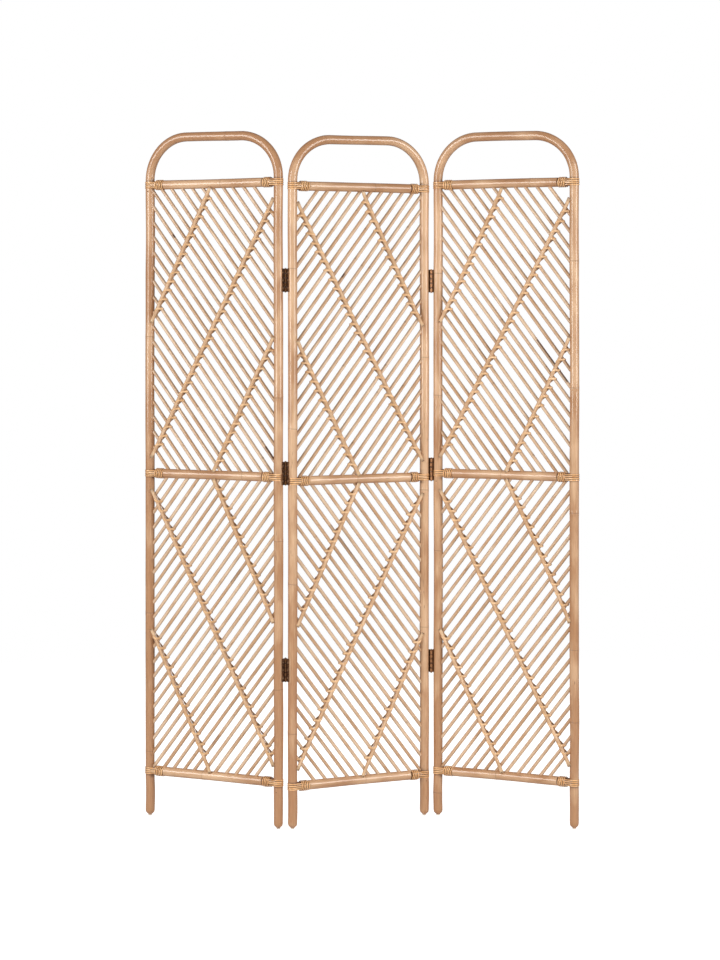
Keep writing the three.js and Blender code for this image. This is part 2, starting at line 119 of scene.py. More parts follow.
def unit(vectors):
    """Every vector divided by its own length."""
    return vectors / np.maximum(np.linalg.norm(vectors, axis=-1, keepdims=True), 1e-12)


def bell(away, reach):
    """A bell curve: 1 where away is 0, and exp(-1) at the reach."""
    return np.exp(-((away / reach) ** 2))


def with_stations(length, places, near):
    """A row of lengths with extra ones close to each place of interest, in order."""
    extra = (np.array(places)[:, None] + np.array(near)).ravel()
    return np.unique(np.concatenate([length, extra]))


def towards_front(paths):
    """The out direction of a bar that lies in its panel: -Y at every station."""
    return np.broadcast_to([0.0, -1.0, 0.0], paths.shape)


def sweep(paths, outs, wide, thick, section):
    """Grids of points round paths: point = path + wide * sx * across + thick * sy * out.

    paths and outs are (paths, stations, 3); wide and thick are numbers or (paths, stations).
    across is the path's direction crossed with out, so the grid always faces outwards.
    """
    along = unit(np.gradient(paths, axis=1))
    out = unit(outs - (outs * along).sum(-1, keepdims=True) * along)
    across = np.cross(along, out)
    shape = paths.shape[:2]
    wide = np.broadcast_to(wide, shape)[..., None, None]
    thick = np.broadcast_to(thick, shape)[..., None, None]
    sx, sy = section[:, :1], section[:, 1:]
    return paths[:, :, None] + wide * sx * across[:, :, None] + thick * sy * out[:, :, None]


def grid_faces(tubes, stations, sides):
    """Quads between neighbouring stations, and one flat face over each end."""
    ring = np.arange(sides)
    at = np.arange(tubes * stations * sides).reshape(tubes, stations, sides)
    near, far = at[:, :-1], at[:, 1:]
    after = np.roll(ring, -1)
    quads = np.stack([near, near[..., after], far[..., after], far], axis=-1)
    ends = np.concatenate([at[:, 0, ::-1], at[:, -1]])
    return [quads.reshape(-1, 4), ends]


def grain_of(paths, section, radius, shift):
    """Where each point lies in the cane it was cut from: round the section, and along it."""
    step = np.linalg.norm(np.diff(paths, axis=1), axis=-1)
    length = np.concatenate([np.zeros((len(paths), 1)), np.cumsum(step, axis=1)], axis=1)
    grain = np.empty((*paths.shape[:2], len(section), 3))
    grain[..., :2] = section * radius
    grain[..., 2] = length[..., None]
    return grain + np.reshape(shift, (-1, 1, 1, 3))


print("peel section:", len(PEEL_SECTION), "points, edges at", np.flatnonzero(peel_edge).tolist())


# %% [markdown]
# ## From arrays to a piece
# Every piece goes through the same few steps: fill a mesh, write its marks as attributes,
# smooth it, give it its finish, and let it ride on the body that carries it. Attributes are
# used for the marks because they stay with the surface when a panel folds, and because a ring
# or a stain can then be as sharp as the mesh.

# %% Fill a mesh and hand it to the frame
def new_piece(name, points, faces, finish, body, slot, stands_for=(), sharp=50, **marks):
    """A mesh object from points and index arrays, with marks as point attributes."""
    mesh = bpy.data.meshes.new(name)
    flat = np.ascontiguousarray(points, dtype=np.float32).reshape(-1, 3)
    loops = np.concatenate([part.ravel() for part in faces])
    sizes = np.concatenate([np.full(len(part), part.shape[1]) for part in faces])
    mesh.vertices.add(len(flat))
    mesh.vertices.foreach_set("co", flat.ravel())
    mesh.loops.add(len(loops))
    mesh.loops.foreach_set("vertex_index", loops.astype(np.int32))
    mesh.polygons.add(len(sizes))
    mesh.polygons.foreach_set("loop_start", (np.cumsum(sizes) - sizes).astype(np.int32))
    for mark, values in marks.items():
        if mark == "grain":
            kind, field, shape = "FLOAT_VECTOR", "vector", points.shape
        else:
            kind, field, shape = "FLOAT", "value", points.shape[:-1]
        spread = np.broadcast_to(values, shape).astype(np.float32)
        mesh.attributes.new(mark, kind, "POINT").data.foreach_set(field, spread.ravel())
    mesh.update(calc_edges=True)
    mesh.polygons.foreach_set("use_smooth", np.ones(len(sizes), dtype=bool))
    mesh.set_sharp_from_angle(angle=np.radians(sharp))
    mesh.materials.append(finish)
    piece = bpy.data.objects.new(name, mesh)
    bpy.context.scene.collection.objects.link(piece)
    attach(piece, body)
    if stands_for:
        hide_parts(*stands_for)


def cane_piece(name, panel, local, finish, slot, stands_for, **marks):
    """A swept grid of panel-local points, shaped (paths, stations, sides, 3), as a piece."""
    faces = grid_faces(*local.shape[:3])
    new_piece(name, to_world(panel, local), faces, finish, panel, slot, stands_for, **marks)


def joined(shells):
    """Several (points, faces) shells as one pair, with each shell's indices moved on."""
    counts = np.cumsum([0] + [len(points) for points, _ in shells])
    points = np.concatenate([points for points, _ in shells])
    faces = [part + start for start, (_, parts) in zip(counts, shells) for part in parts]
    return points, faces


# %% [markdown]
# ## Finishes
# Cane is made of lengthwise fibres, with pores as short dark dashes, and its skin is darker in
# some stretches than in others. One node group holds that, and every kind of cane uses it with
# its own colours: the thick poles, the paler sticks, the duller battens, and the yellower peel
# of the bindings and lashings. Image textures could look the same, but a pattern worked out
# from the grain follows each bend by itself.

# %% Helpers for nodes
def fill(tree, made, **sockets):
    """Give sockets, by name or as in0, in1, a value, a node or one output as (node, output)."""
    for key, value in sockets.items():
        index = int(key[2:]) if key[2:].isdigit() else key.replace("_", " ")
        source = value if isinstance(value, tuple) else (value, 0)
        if isinstance(source[0], bpy.types.Node):
            tree.links.new(source[0].outputs[source[1]], made.inputs[index])
        else:
            made.inputs[index].default_value = value


def node(tree, kind, **settings):
    """A new node: settings that it has as properties are set, and the others fill its sockets."""
    made = tree.nodes.new(kind)
    own = [key for key in settings if key in made.bl_rna.properties]
    for key in own:
        setattr(made, key, settings[key])
    fill(tree, made, **{key: value for key, value in settings.items() if key not in own})
    return made


def group(name, inputs, outputs):
    """An empty node group with named sockets, and its input and output nodes."""
    tree = bpy.data.node_groups.new(name, "ShaderNodeTree")
    for label, kind, value in inputs:
        socket = tree.interface.new_socket(label, in_out="INPUT", socket_type=kind)
        socket.default_value = value
    for label, kind in outputs:
        tree.interface.new_socket(label, in_out="OUTPUT", socket_type=kind)
    return tree, tree.nodes.new("NodeGroupInput"), tree.nodes.new("NodeGroupOutput")


def math_node(tree, operation, first, second=0.0):
    """One sum, product or other operation on two values."""
    return node(tree, "ShaderNodeMath", operation=operation, in0=first, in1=second)


def ranged(tree, value, low, high, to_low=0.0, to_high=1.0):
    """A value carried from one range to another, and kept inside it."""
    limits = {"From_Min": low, "From_Max": high, "To_Min": to_low, "To_Max": to_high}
    return node(tree, "ShaderNodeMapRange", Value=value, **limits)


def noise(tree, place, scale, detail):
    """Cloudy noise at a place."""
    return node(tree, "ShaderNodeTexNoise", Vector=place, Scale=scale, Detail=detail)


def mark_of(tree, name, output="Fac"):
    """A mark that the mesh carries."""
    return node(tree, "ShaderNodeAttribute", attribute_name=name), output


def blend_colours(tree, share, first, second, kind="MIX"):
    """Two colours mixed by a share."""
    settings = {"data_type": "RGBA", "blend_type": kind, "in0": share, "in6": first, "in7": second}
    return node(tree, "ShaderNodeMix", **settings), 2


# %% The cane group: fibres, pores, blotches, rings, stains and painted shade
FLOAT, COLOUR = "NodeSocketFloat", "NodeSocketColor"
PARED = (0.86, 0.66, 0.42, 1)  # cane without its skin


def build_cane_group():
    """Colour and roughness of cane, and a height for its bump, from its grain."""
    tree, given, result = group(
        "Cane skin",
        [
            ("Pale", COLOUR, (0.7, 0.5, 0.3, 1)),
            ("Deep", COLOUR, (0.5, 0.3, 0.15, 1)),
            ("Stain", COLOUR, (0.075, 0.025, 0.008, 1)),
            ("Fibre contrast", FLOAT, 0.3),
            ("Blotch size", FLOAT, 12.0),
            ("Roughness", FLOAT, 0.35),
        ],
        [("Colour", COLOUR), ("Roughness", FLOAT), ("Height", FLOAT)],
    )
    grain = mark_of(tree, "grain", "Vector")
    tone, stain, raw = (mark_of(tree, mark) for mark in ("tone", "stain", "raw"))

    def stretched(across, along, detail):
        """Noise that repeats so often in a metre across the grain, and so often along it."""
        scales = (across, across, along)
        place = node(tree, "ShaderNodeVectorMath", operation="MULTIPLY", in0=grain, in1=scales)
        return noise(tree, place, 1.0, detail)

    fibre = stretched(1500, 18, 3.0)
    vein = stretched(420, 9, 2.0)
    pore = stretched(900, 90, 1.0)
    fleck = stretched(300, 36, 1.0)
    size = (given, "Blotch size")
    place = node(tree, "ShaderNodeVectorMath", operation="MULTIPLY", in0=grain, in1=(3, 3, 1))
    place = node(tree, "ShaderNodeVectorMath", operation="SCALE", in0=place, Scale=size)
    blotch = noise(tree, place, 1.0, 3.0)

    # How deep the colour is: blotches and the piece's own tone, which on the hoops holds painted shade
    # too, with veins to either side.
    depth = math_node(tree, "ADD", ranged(tree, blotch, 0.36, 0.66), tone)
    veins = math_node(tree, "SUBTRACT", math_node(tree, "MULTIPLY", vein, 0.7), 0.35)
    depth = node(tree, "ShaderNodeClamp", Value=math_node(tree, "ADD", depth, veins))
    colour = blend_colours(tree, depth, (given, "Pale"), (given, "Deep"))

    # Fine lines of fibres and pores, then flats without skin, then stains, painted shade and flecks.
    pores = ranged(tree, pore, 0.66, 0.76)
    half_pores = math_node(tree, "MULTIPLY", pores, 0.5)
    lines = math_node(tree, "MAXIMUM", ranged(tree, fibre, 0.3, 0.75), half_pores)
    lines = math_node(tree, "MULTIPLY", lines, (given, "Fibre contrast"))
    colour = blend_colours(tree, lines, colour, (given, "Deep"), "MULTIPLY")
    colour = blend_colours(tree, raw, colour, PARED)
    flecks = ranged(tree, fleck, 0.72, 0.8, to_high=0.6)
    marks = math_node(tree, "MAXIMUM", stain, flecks)
    colour = blend_colours(tree, marks, colour, (given, "Stain"))

    rough = math_node(tree, "ADD", math_node(tree, "MULTIPLY", fibre, 0.22), (given, "Roughness"))
    rough = math_node(tree, "ADD", rough, math_node(tree, "MULTIPLY", raw, 0.35))
    height = math_node(tree, "SUBTRACT", fibre, pores)
    fill(tree, result, Colour=colour, Roughness=rough, Height=height)
    return tree


cane_group = build_cane_group()
print("cane group:", len(cane_group.nodes), "nodes")


# %% Materials for the cane, from pole to peel
def new_material(name):
    """An empty material, its node tree and its Principled shader."""
    material = bpy.data.materials.new(name)
    material.use_nodes = True
    tree = material.node_tree
    return material, tree, tree.nodes["Principled BSDF"]


RIM = (0.42, 0.15, 0.045, 1)  # painted shade: the darker colour that cane is given at its edges, where it is seen aslant
RELIEF = 0.0002  # height of the bumps, in metres


def cane(name, pale, deep, fibre, blotch, rough, varnish, bump):
    """Varnished cane: the group colours it, it is painted darker where it is seen aslant, as painted
    shade at its edges, and a thin clear coat gives it its gloss."""
    material, tree, shader = new_material(name)
    skin = node(tree, "ShaderNodeGroup", node_tree=cane_group, Pale=(*pale, 1), Deep=(*deep, 1))
    fill(tree, skin, Fibre_contrast=fibre, Blotch_size=blotch, Roughness=rough)
    facing = node(tree, "ShaderNodeLayerWeight", Blend=0.5), "Facing"
    aslant = ranged(tree, facing, 0.35, 0.85, to_high=0.75)
    colour = blend_colours(tree, aslant, (skin, "Colour"), RIM)
    fill(tree, shader, Base_Color=colour, Roughness=(skin, "Roughness"))
    relief = node(tree, "ShaderNodeBump", Strength=bump, Distance=RELIEF, Height=(skin, "Height"))
    fill(tree, shader, Normal=relief, Coat_Weight=varnish, Coat_Roughness=0.1)
    return material


# Every kind of cane: the colours of its palest and deepest stretches, the contrast of its fibres,
# how often its blotches repeat, its roughness, its coat of varnish and the depth of its relief.
pole_cane = cane("Varnished pole", (0.75, 0.51, 0.315), (0.49, 0.265, 0.13), 0.5, 9.0, 0.5, 0.9, 0.2)
stick_cane = cane("Varnished stick", (0.81, 0.62, 0.44), (0.61, 0.39, 0.225), 0.4, 14.0, 0.45, 0.6, 0.3)
batten_cane = cane("Duller batten", (0.8, 0.58, 0.39), (0.6, 0.385, 0.22), 0.45, 20.0, 0.5, 0.25, 0.6)
peel_cane = cane("Glossy peel", (0.95, 0.6, 0.3), (0.68, 0.36, 0.145), 0.3, 40.0, 0.3, 1.0, 0.3)
lashing_cane = cane("Lashing peel", (0.92, 0.64, 0.38), (0.66, 0.39, 0.18), 0.3, 60.0, 0.4, 0.8, 0.4)
canes = (pole_cane, stick_cane, batten_cane, peel_cane, lashing_cane)
print("cane:", [finish.name for finish in canes])

# %% [markdown]
# ## Metal and glides
# The hinges are dark antique bronze: nearly black in the hollows, with worn edges and knuckles
# of a warm brown. Wear on a real hinge follows what rubs, so a noise breaks up a mask that the
# mesh carries. Screws and nails are the same finish, brighter and darker. The glides are plain
# pale plastic with a faint scuffed grain.

# %% Bronze and plastic
def worn_bronze(name, dark, bright):
    """Bronze with patina: noise and the mesh's own wear mark choose between dark and bright."""
    material, tree, shader = new_material(name)
    cloud = noise(tree, (node(tree, "ShaderNodeTexCoord"), "Object"), 260.0, 4.0)
    share = math_node(tree, "ADD", cloud, mark_of(tree, "wear"))
    share = ranged(tree, share, 0.52, 0.86)
    colour = blend_colours(tree, share, (*dark, 1), (*bright, 1))
    relief = node(tree, "ShaderNodeBump", Strength=0.4, Distance=RELIEF, Height=cloud)
    fill(tree, shader, Base_Color=colour, Roughness=ranged(tree, share, 0, 1, 0.5, 0.22))
    fill(tree, shader, Normal=relief, Metallic=0.5)
    return material


hinge_bronze = worn_bronze("Antique bronze", (0.06, 0.024, 0.012), (0.45, 0.22, 0.1))
screw_bronze = worn_bronze("Bronze screws", (0.15, 0.07, 0.035), (0.7, 0.48, 0.32))
nail_steel = worn_bronze("Dark nails", (0.012, 0.005, 0.002), (0.09, 0.04, 0.018))


def scuffed_plastic():
    """Pale plastic whose roughness and tint vary a little from place to place."""
    material, tree, shader = new_material("Pale glide plastic")
    cloud = noise(tree, (node(tree, "ShaderNodeTexCoord"), "Object"), 700.0, 3.0)
    colour = blend_colours(tree, cloud, (0.74, 0.66, 0.58, 1), (0.56, 0.48, 0.41, 1))
    fill(tree, shader, Base_Color=colour, Roughness=ranged(tree, cloud, 0, 1, 0.35, 0.65))
    return material


glide_plastic = scuffed_plastic()
metals = (hinge_bronze, screw_bronze, nail_steel)
print("metal and plastic:", [finish.name for finish in (*metals, glide_plastic)])

# %% [markdown]
# ## The hoops
# Each hoop is a single pole, steamed and bent: up one post, round, and down the other. No pole
# is quite straight, so it wanders a millimetre between the joints that hold it. Growth rings
# cross it every foot or so, as a slight swelling with a fine dark groove. Where a hinge sits
# the skin is pared away to a pale flat, and the leg ends are cut to blunt cones.

# %% The line of a hoop, and where its growth rings lie
ARC = BEND_RADIUS * np.pi / 2
TOP = POST_SPACING - 2 * BEND_RADIUS

# Heights of the growth rings on each post, in metres, and one place along the bent top.
RINGS = {
    "left_panel": {"left": [1.264, 0.535, 0.17], "right": [1.11, 0.741, 0.36], "top": 0.58},
    "middle_panel": {"left": [1.442, 1.03, 0.63, 0.246], "right": [1.21, 0.86, 0.498], "top": 0.3},
    "right_panel": {
        "left": [1.432, 1.11, 0.7, 0.061],
        "right": [1.462, 1.136, 0.814, 0.462, 0.276],
        "top": 0.93,
    },
}

# How much deeper the colours of a hoop's left and right post are than the common one, and how much
# deeper still they get on the bent top and, as painted shade, towards the feet.
POST_TONES = {"left_panel": (0.3, 0.1), "middle_panel": (-0.1, -0.35), "right_panel": (-0.05, -0.1)}
FOOT_SHADE, CROWN_TONE = 0.7, 0.45


def hoop_line(length, leg):
    """Place (x, z) along a pole whose straight legs have the given length, from the left tip."""
    whole = 2 * (leg + ARC) + TOP
    side = np.where(length < whole / 2, -1.0, 1.0)
    run = np.minimum(length, whole - length)
    angle = np.clip((run - leg) / ARC, 0, 1) * np.pi / 2
    level = np.clip(run - leg - ARC, 0, None)
    x = POST_X - BEND_RADIUS * (1 - np.cos(angle)) - level
    z = FOOT_TOP + np.minimum(run, leg) + BEND_RADIUS * np.sin(angle)
    return side * x, z


def wander(z, holds, size, chance):
    """A drift between held heights: each span swells by its own amount and is 0 at its ends."""
    drift = np.zeros_like(z)
    for low, high in zip(holds[:-1], holds[1:]):
        share = np.clip((z - low) / (high - low), 0, 1)
        drift += chance.uniform(-size, size) * np.sin(np.pi * share) ** 2
    return drift


def ring_marks(length, places, slant):
    """Swelling and darkness at growth rings: narrow bells round each place, slightly slanted."""
    swell, dark = 0.0, 0.0
    for place, strength in places:
        away = length - place - slant
        groove = 0.35 * bell(away, 0.9 * MM)
        swell = swell + strength * (0.4 * bell(away, 5 * MM) - groove)
        dark = dark + strength * bell(away, 0.8 * MM)
    return swell * MM, np.clip(dark, 0, 1)


def ringed_pole(path, length, radius, rings, slant, turn, whole, section):
    """A pole swept along its path that swells at its rings; whole is 0 where it is cut down."""
    angle = np.arctan2(section[:, 0], section[:, 1])
    swell, dark = ring_marks(length[:, None], rings, slant * np.cos(angle + turn))
    local = sweep(path, towards_front(path), radius, radius, section)
    outwards = unit(local - path[:, :, None])
    return local + outwards * (swell * whole[:, None])[None, ..., None], dark


print(f"each bend takes {ARC:.3f} m of pole and the top {TOP:.3f} m")

# %% Where a hoop needs points, and its own crooked path
RING_STEPS = np.array([-6, -4, -2.4, -1.6, -1, -0.5, 0, 0.5, 1, 1.6, 2.4, 4, 6]) * MM
STATION_STEP = 6 * MM
CUT_EDGE = 0.05 * MM  # over which a flat breaks off
TIP_STEPS = np.array([1, 3]) * MM
SWAY, LEAN, LIFT = 1.1 * MM, 0.9 * MM, 1.4 * MM  # how far a hoop strays from its plan
held = sorted([FOOT_TOP, *RAIL_HEIGHTS.values(), HINGE_HEIGHTS["upper"], HINGE_HEIGHTS["lower"]])


def hinge_seats(name, panel):
    """The flats of a hoop, as (side, bottom, top, how far out the skin is left)."""
    strands = panel["rails"]["middle"]
    half = HINGE_HALF + FIT
    spans = [(height - half, height + half, SEAT) for height in HINGE_HEIGHTS.values()]
    spans.append((strands - GROOVE_HALF, strands + GROOVE_HALF, GROOVE))
    return [(side, *span) for side in HINGED[name] for span in spans]


def hoop_path(length, leg, pole_length, chance):
    """A hoop's centre line: its plan, with a drift sideways, forwards and along the bent top."""
    x, z = hoop_line(length, leg)
    on_left = length < pole_length / 2
    sway = np.where(on_left, wander(z, held, SWAY, chance), wander(z, held, SWAY, chance))
    lean = np.where(on_left, wander(z, held, LEAN, chance), wander(z, held, LEAN, chance))
    along_top = np.clip((length - leg) / (2 * ARC + TOP), 0, 1)
    phase = 2 * np.pi * along_top + chance.uniform(0, 6)
    lift = LIFT * np.sin(phase) * np.sin(np.pi * along_top)
    return np.stack([x + sway, lean, z + lift], axis=1)[None]


print("heights where a hoop is held:", [round(height, 3) for height in held])

# %% The marks on a hoop
CORNER = 14 * MM  # from a rail's centre to the painted shade above and below it
BOUND_HALF = 9.4 * MM  # of a post's height under the strands
# How dark the painted shade is in the corners at the rails and between a binding's strands, and the
# mark at a leg's tip.
CORNER_SHADE_SHARE, STRAND_GAP_SHADE_SHARE, TIP_SHARE = 0.6, 0.9, 0.25


def hoop_stain(local, dark, rails):
    """Dark marks on a hoop: stain at its rings, painted shade in the corners at the rails, and painted
    shade under the bindings that shows between the strands.
    """
    side, height = np.sign(local[..., 0]), local[..., 2]
    inner = np.clip(side * (side * POST_X - local[..., 0]) / POLE, 0, 1)
    corner_shade = sum(bell(np.abs(height - rail) - CORNER, 2.5 * MM) for rail in rails)
    bound = sum(np.abs(height - rail) < BOUND_HALF for rail in rails)
    stain = np.clip(0.5 * dark + CORNER_SHADE_SHARE * corner_shade * inner**2 + STRAND_GAP_SHADE_SHARE * bound, 0, 1)
    return np.where(height < FOOT_TOP + 0.5 * MM, TIP_SHARE, stain), corner_shade


def hoop_tone(name, panel, local, corner_shade):
    """How deep the colour is: a blend of both posts' tones, deeper at the crown, with painted shade
    deeper towards the feet and a little in the corners at the rails.
    """
    across = np.clip(local[..., 0] / POST_X, -1, 1) / 2 + 0.5
    left, right = POST_TONES[name]
    tone = left + (right - left) * across + 0.1 * np.clip(corner_shade, 0, 1)
    tone = tone + FOOT_SHADE * np.clip(1 - local[..., 2] / RAIL_HEIGHTS["middle"], 0, 1)
    return tone + CROWN_TONE * np.clip((local[..., 2] - panel["bend_start"]) / BEND_RADIUS, 0, 1)


# %% Build the three hoops
hoop_section = round_section(32)
TIP = 4.6 * MM  # radius at the very end of a leg
CONE = 7 * MM


def pare(local, seats):
    """Cut the flats for the hinges: no point stands further out than the seat."""
    raw = np.zeros(local.shape[:-1])
    for side, low, high, limit in seats:
        within = (local[..., 2] > low) & (local[..., 2] < high)
        inside = within & (side * local[..., 0] > POST_X + limit)
        local[..., 0] = np.where(inside, side * (POST_X + limit), local[..., 0])
        raw = np.where(inside, 1.0, raw)
    return raw


for number, (name, panel) in enumerate(PANELS.items()):
    chance = np.random.default_rng(100 + number)
    leg = panel["bend_start"] - FOOT_TOP
    pole_length = 2 * (leg + ARC) + TOP
    rings = [(z - FOOT_TOP, 1.0) for z in RINGS[name]["left"]]
    rings += [(pole_length - z + FOOT_TOP, 1.0) for z in RINGS[name]["right"]]
    rings.append((leg + RINGS[name]["top"] * (2 * ARC + TOP), 0.8))
    seats = hinge_seats(name, panel)
    edges = [z - FOOT_TOP for side, *ends, _ in seats for z in ends if side < 0]
    edges += [pole_length - z + FOOT_TOP for side, *ends, _ in seats for z in ends if side > 0]
    length = np.linspace(0, pole_length, int(pole_length / STATION_STEP) + 1)
    length = np.clip(with_stations(length, [place for place, _ in rings], RING_STEPS), 0, pole_length)
    length = with_stations(length, edges, [-CUT_EDGE, CUT_EDGE])
    length = np.unique(np.concatenate([length, TIP_STEPS, pole_length - TIP_STEPS]))

    path = hoop_path(length, leg, pole_length, chance)
    turn = chance.uniform(0, 6)
    foot = np.clip(np.minimum(length, pole_length - length) / CONE, 0, 1)
    # The pole's thickness wavers in a long and a short wave.
    waver = 0.14 * MM * np.sin(length / 0.083 + chance.uniform(0, 6))
    waver = waver + 0.1 * MM * np.sin(length / 0.031)
    radius = TIP + (POLE - TIP) * foot + waver * foot
    local, dark = ringed_pole(path, length, radius, rings, 0.9 * MM, turn, foot, hoop_section)
    raw = pare(local, seats)
    stain, corner_shade = hoop_stain(local, dark[None], panel["rails"].values())
    cane_piece(
        f"{name}_bent_hoop", name, local, pole_cane, "pole", [f"{name}_hoop"],
        grain=grain_of(path, hoop_section, POLE, chance.uniform(0, 9, 3)),
        tone=hoop_tone(name, panel, local, corner_shade), stain=stain, raw=raw,
    )
    print(f"{name}: a hoop of {pole_length:.2f} m of pole, {len(length)} stations")

# %% [markdown]
# ## The rails
# A rail is a straight length of the same pole, cut to end inside the posts. Its ends are
# dressed down so that the peel wound over them comes level with the rest. Each rail gets its
# own bow of under a millimetre and its own growth ring, so that no two of them are alike.

# %% Build the nine rails
RAIL_END = 10.6 * MM  # radius of a dressed end
RAIL_INSET = 7 * MM  # of a rail's end, from the post's centre
RAIL_BOW = 0.9 * MM
BINDING_END = 45.4 * MM  # of a binding's far turn, from the post's centre
RAIL_RING_STEPS = np.array([-5, -2.4, -1.2, -0.5, 0, 0.5, 1.2, 2.4, 5]) * MM
RAIL_STEP = 7 * MM
SHOULDER_STEPS = np.array([-1.5, 0, 1]) * MM
rail_section = round_section(28)
rail_length = POST_SPACING - 2 * RAIL_INSET
shoulder = BINDING_END - RAIL_INSET

for number, (name, panel) in enumerate(PANELS.items()):
    for rank, (level, height) in enumerate(panel["rails"].items()):
        chance = np.random.default_rng(200 + 10 * number + rank)
        ring_at, strength = chance.uniform(0.25, 0.75) * rail_length, chance.uniform(0.5, 1)
        length = np.linspace(0, rail_length, int(rail_length / RAIL_STEP) + 1)
        length = with_stations(length, [ring_at], RAIL_RING_STEPS)
        shoulders = [shoulder + SHOULDER_STEPS, rail_length - shoulder - SHOULDER_STEPS]
        length = np.unique(np.concatenate([length, *shoulders]))
        bow = RAIL_BOW * np.sin(np.pi * length / rail_length) ** 2 * chance.uniform(-1, 1, 2)[:, None]
        path = np.stack([length - rail_length / 2, bow[0], height + bow[1]], axis=1)[None]
        from_end = np.minimum(length, rail_length - length)
        dressed = np.clip((from_end - shoulder) / (1 * MM) + 1, 0, 1)
        radius = RAIL_END + (POLE - RAIL_END) * dressed + 0.12 * MM * np.sin(length / 0.037) * dressed
        rings, turn = [(ring_at, strength)], chance.uniform(0, 6)
        local, dark = ringed_pole(path, length, radius, rings, 0.8 * MM, turn, dressed, rail_section)
        # The dressed ends are painted dark: painted shade where the rail shows between the turns of its
        # binding.
        cane_piece(
            f"{name}_{level}_cross_rail", name, local, pole_cane, "pole", [f"{name}_{level}_rail"],
            grain=grain_of(path, rail_section, POLE, chance.uniform(0, 9, 3)),
            tone=chance.uniform(-0.15, 0.2),
            stain=np.clip(0.5 * dark + 0.9 * (1 - dressed[:, None]), 0, 1)[None], raw=0.0,
        )
print("nine rails,", len(length), "stations in the last")

# %% [markdown]
# ## The lattices
# Each section holds about 28 thin sticks at one slant, with three thicker battens across their
# front. Section coordinates keep this simple: p runs from the post where the corner stick
# starts, q runs from the rail there, and the other sections are the same plan mirrored. The
# sticks are one sweep of many paths; each gets its own small bow, taper, tone and growth ring.

# %% The plan of a section
STICK = 4.4 * MM  # radius
BATTEN = 4.7 * MM
STICK_PITCH = 39.5 * MM  # upright, from stick to stick
STICK_SLOPE = np.tan(np.radians(51.9))
STICK_BACK = 0.5 * MM  # of the sticks' centres, behind the panel's middle plane
PRESSED = 0.5 * MM  # of a batten into the sticks
BATTEN_BACK = STICK_BACK - STICK + PRESSED - BATTEN
BATTEN_INSET = 25 * MM  # of the middle batten's line, from the section's corners
BATTEN_LAP = 3 * MM  # of its ends over a post or a rail
SHORTEST_STICK = 60 * MM
STRAY, TILT, STICK_BOW = 0.9 * MM, 0.006, 1.3 * MM  # how far a stick strays from the plan
SINK = 2.5 * MM  # how far a stick's end sits in a post or rail

SECTIONS = {}
for name, panel in PANELS.items():
    SECTIONS[name, "upper"] = ("top", -1, 5 * MM, RAIL_HEIGHTS["top"] - RAIL_HEIGHTS["middle"])
    SECTIONS[name, "lower"] = ("bottom", 1, -4 * MM, RAIL_HEIGHTS["middle"] - RAIL_HEIGHTS["bottom"])


def section_to_local(name, part, p, q, y):
    """Panel-local points from the section's own p, q and depth."""
    start_rail, rise, _, _ = SECTIONS[name, part]
    x = PANELS[name]["mirror"] * (p - POST_X)
    z = PANELS[name]["rails"][start_rail] + rise * q
    return np.stack([x, np.broadcast_to(y, np.shape(x)), z], axis=-1)


def stick_lines(part_start, span, chance):
    """Offset, both ends and bow of every stick: its line is q = offset + slope * p + bow."""
    first = -int(np.ceil(STICK_SLOPE * POST_SPACING / STICK_PITCH))
    count = np.arange(first, int(np.ceil(span / STICK_PITCH)) + 1)
    offset = part_start + count * STICK_PITCH
    clear = POLE + FIT
    low = np.maximum(clear, (clear - offset) / STICK_SLOPE)
    high = np.minimum(POST_SPACING - clear, (span - clear - offset) / STICK_SLOPE)
    kept = (high - low) * np.hypot(1, STICK_SLOPE) >= SHORTEST_STICK
    offset = offset[kept] + chance.normal(0, STRAY, kept.sum())
    slope = STICK_SLOPE + chance.normal(0, TILT, kept.sum())
    inset = POLE - SINK
    low = np.maximum(inset, (inset - offset) / slope)
    high = np.minimum(POST_SPACING - inset, (span - inset - offset) / slope)
    bow = chance.normal(0, STICK_BOW, kept.sum()) * np.clip((high - low) / POST_SPACING, 0, 1)
    return {"offset": offset, "slope": slope, "low": low, "high": high, "bow": bow}


def stick_q(lines, p):
    """Each stick's q at p, with one p or one row of p for each stick."""
    shape = (slice(None),) + (None,) * (np.ndim(p) - 1)
    low, high = lines["low"][shape], lines["high"][shape]
    bow = lines["bow"][shape] * np.sin(np.pi * np.clip((p - low) / (high - low), 0, 1))
    return lines["offset"][shape] + lines["slope"][shape] * p + bow


for (name, part), (*_, tall) in SECTIONS.items():
    print(f"{name} {part}: {tall:.3f} m from rail to rail")

# %% Sticks, with a growth ring here and there
stick_section = round_section(10)
STICK_RING_STEPS = np.array([-0.012, -0.006, -0.003, 0, 0.003, 0.006, 0.012])  # shares of a stick
# Dark stretches that stand out: section, stick counted from the first corner, from, to, depth.
DARK_STRETCHES = {
    ("left_panel", "upper"): [(11, 0.165, 0.18, 1.0), (16, 0.92, 0.985, 0.9)],
    ("left_panel", "lower"): [(15, 0.65, 0.72, 0.8), (6, 0.24, 0.32, 0.7)],
    ("middle_panel", "lower"): [(18, 0.5, 0.76, 0.9)],
    ("middle_panel", "upper"): [(8, 0.55, 0.57, 0.7)],
    ("right_panel", "upper"): [(11, 0.74, 0.97, 0.9)],
    ("right_panel", "lower"): [(11, 0.3, 0.32, 0.6)],
}


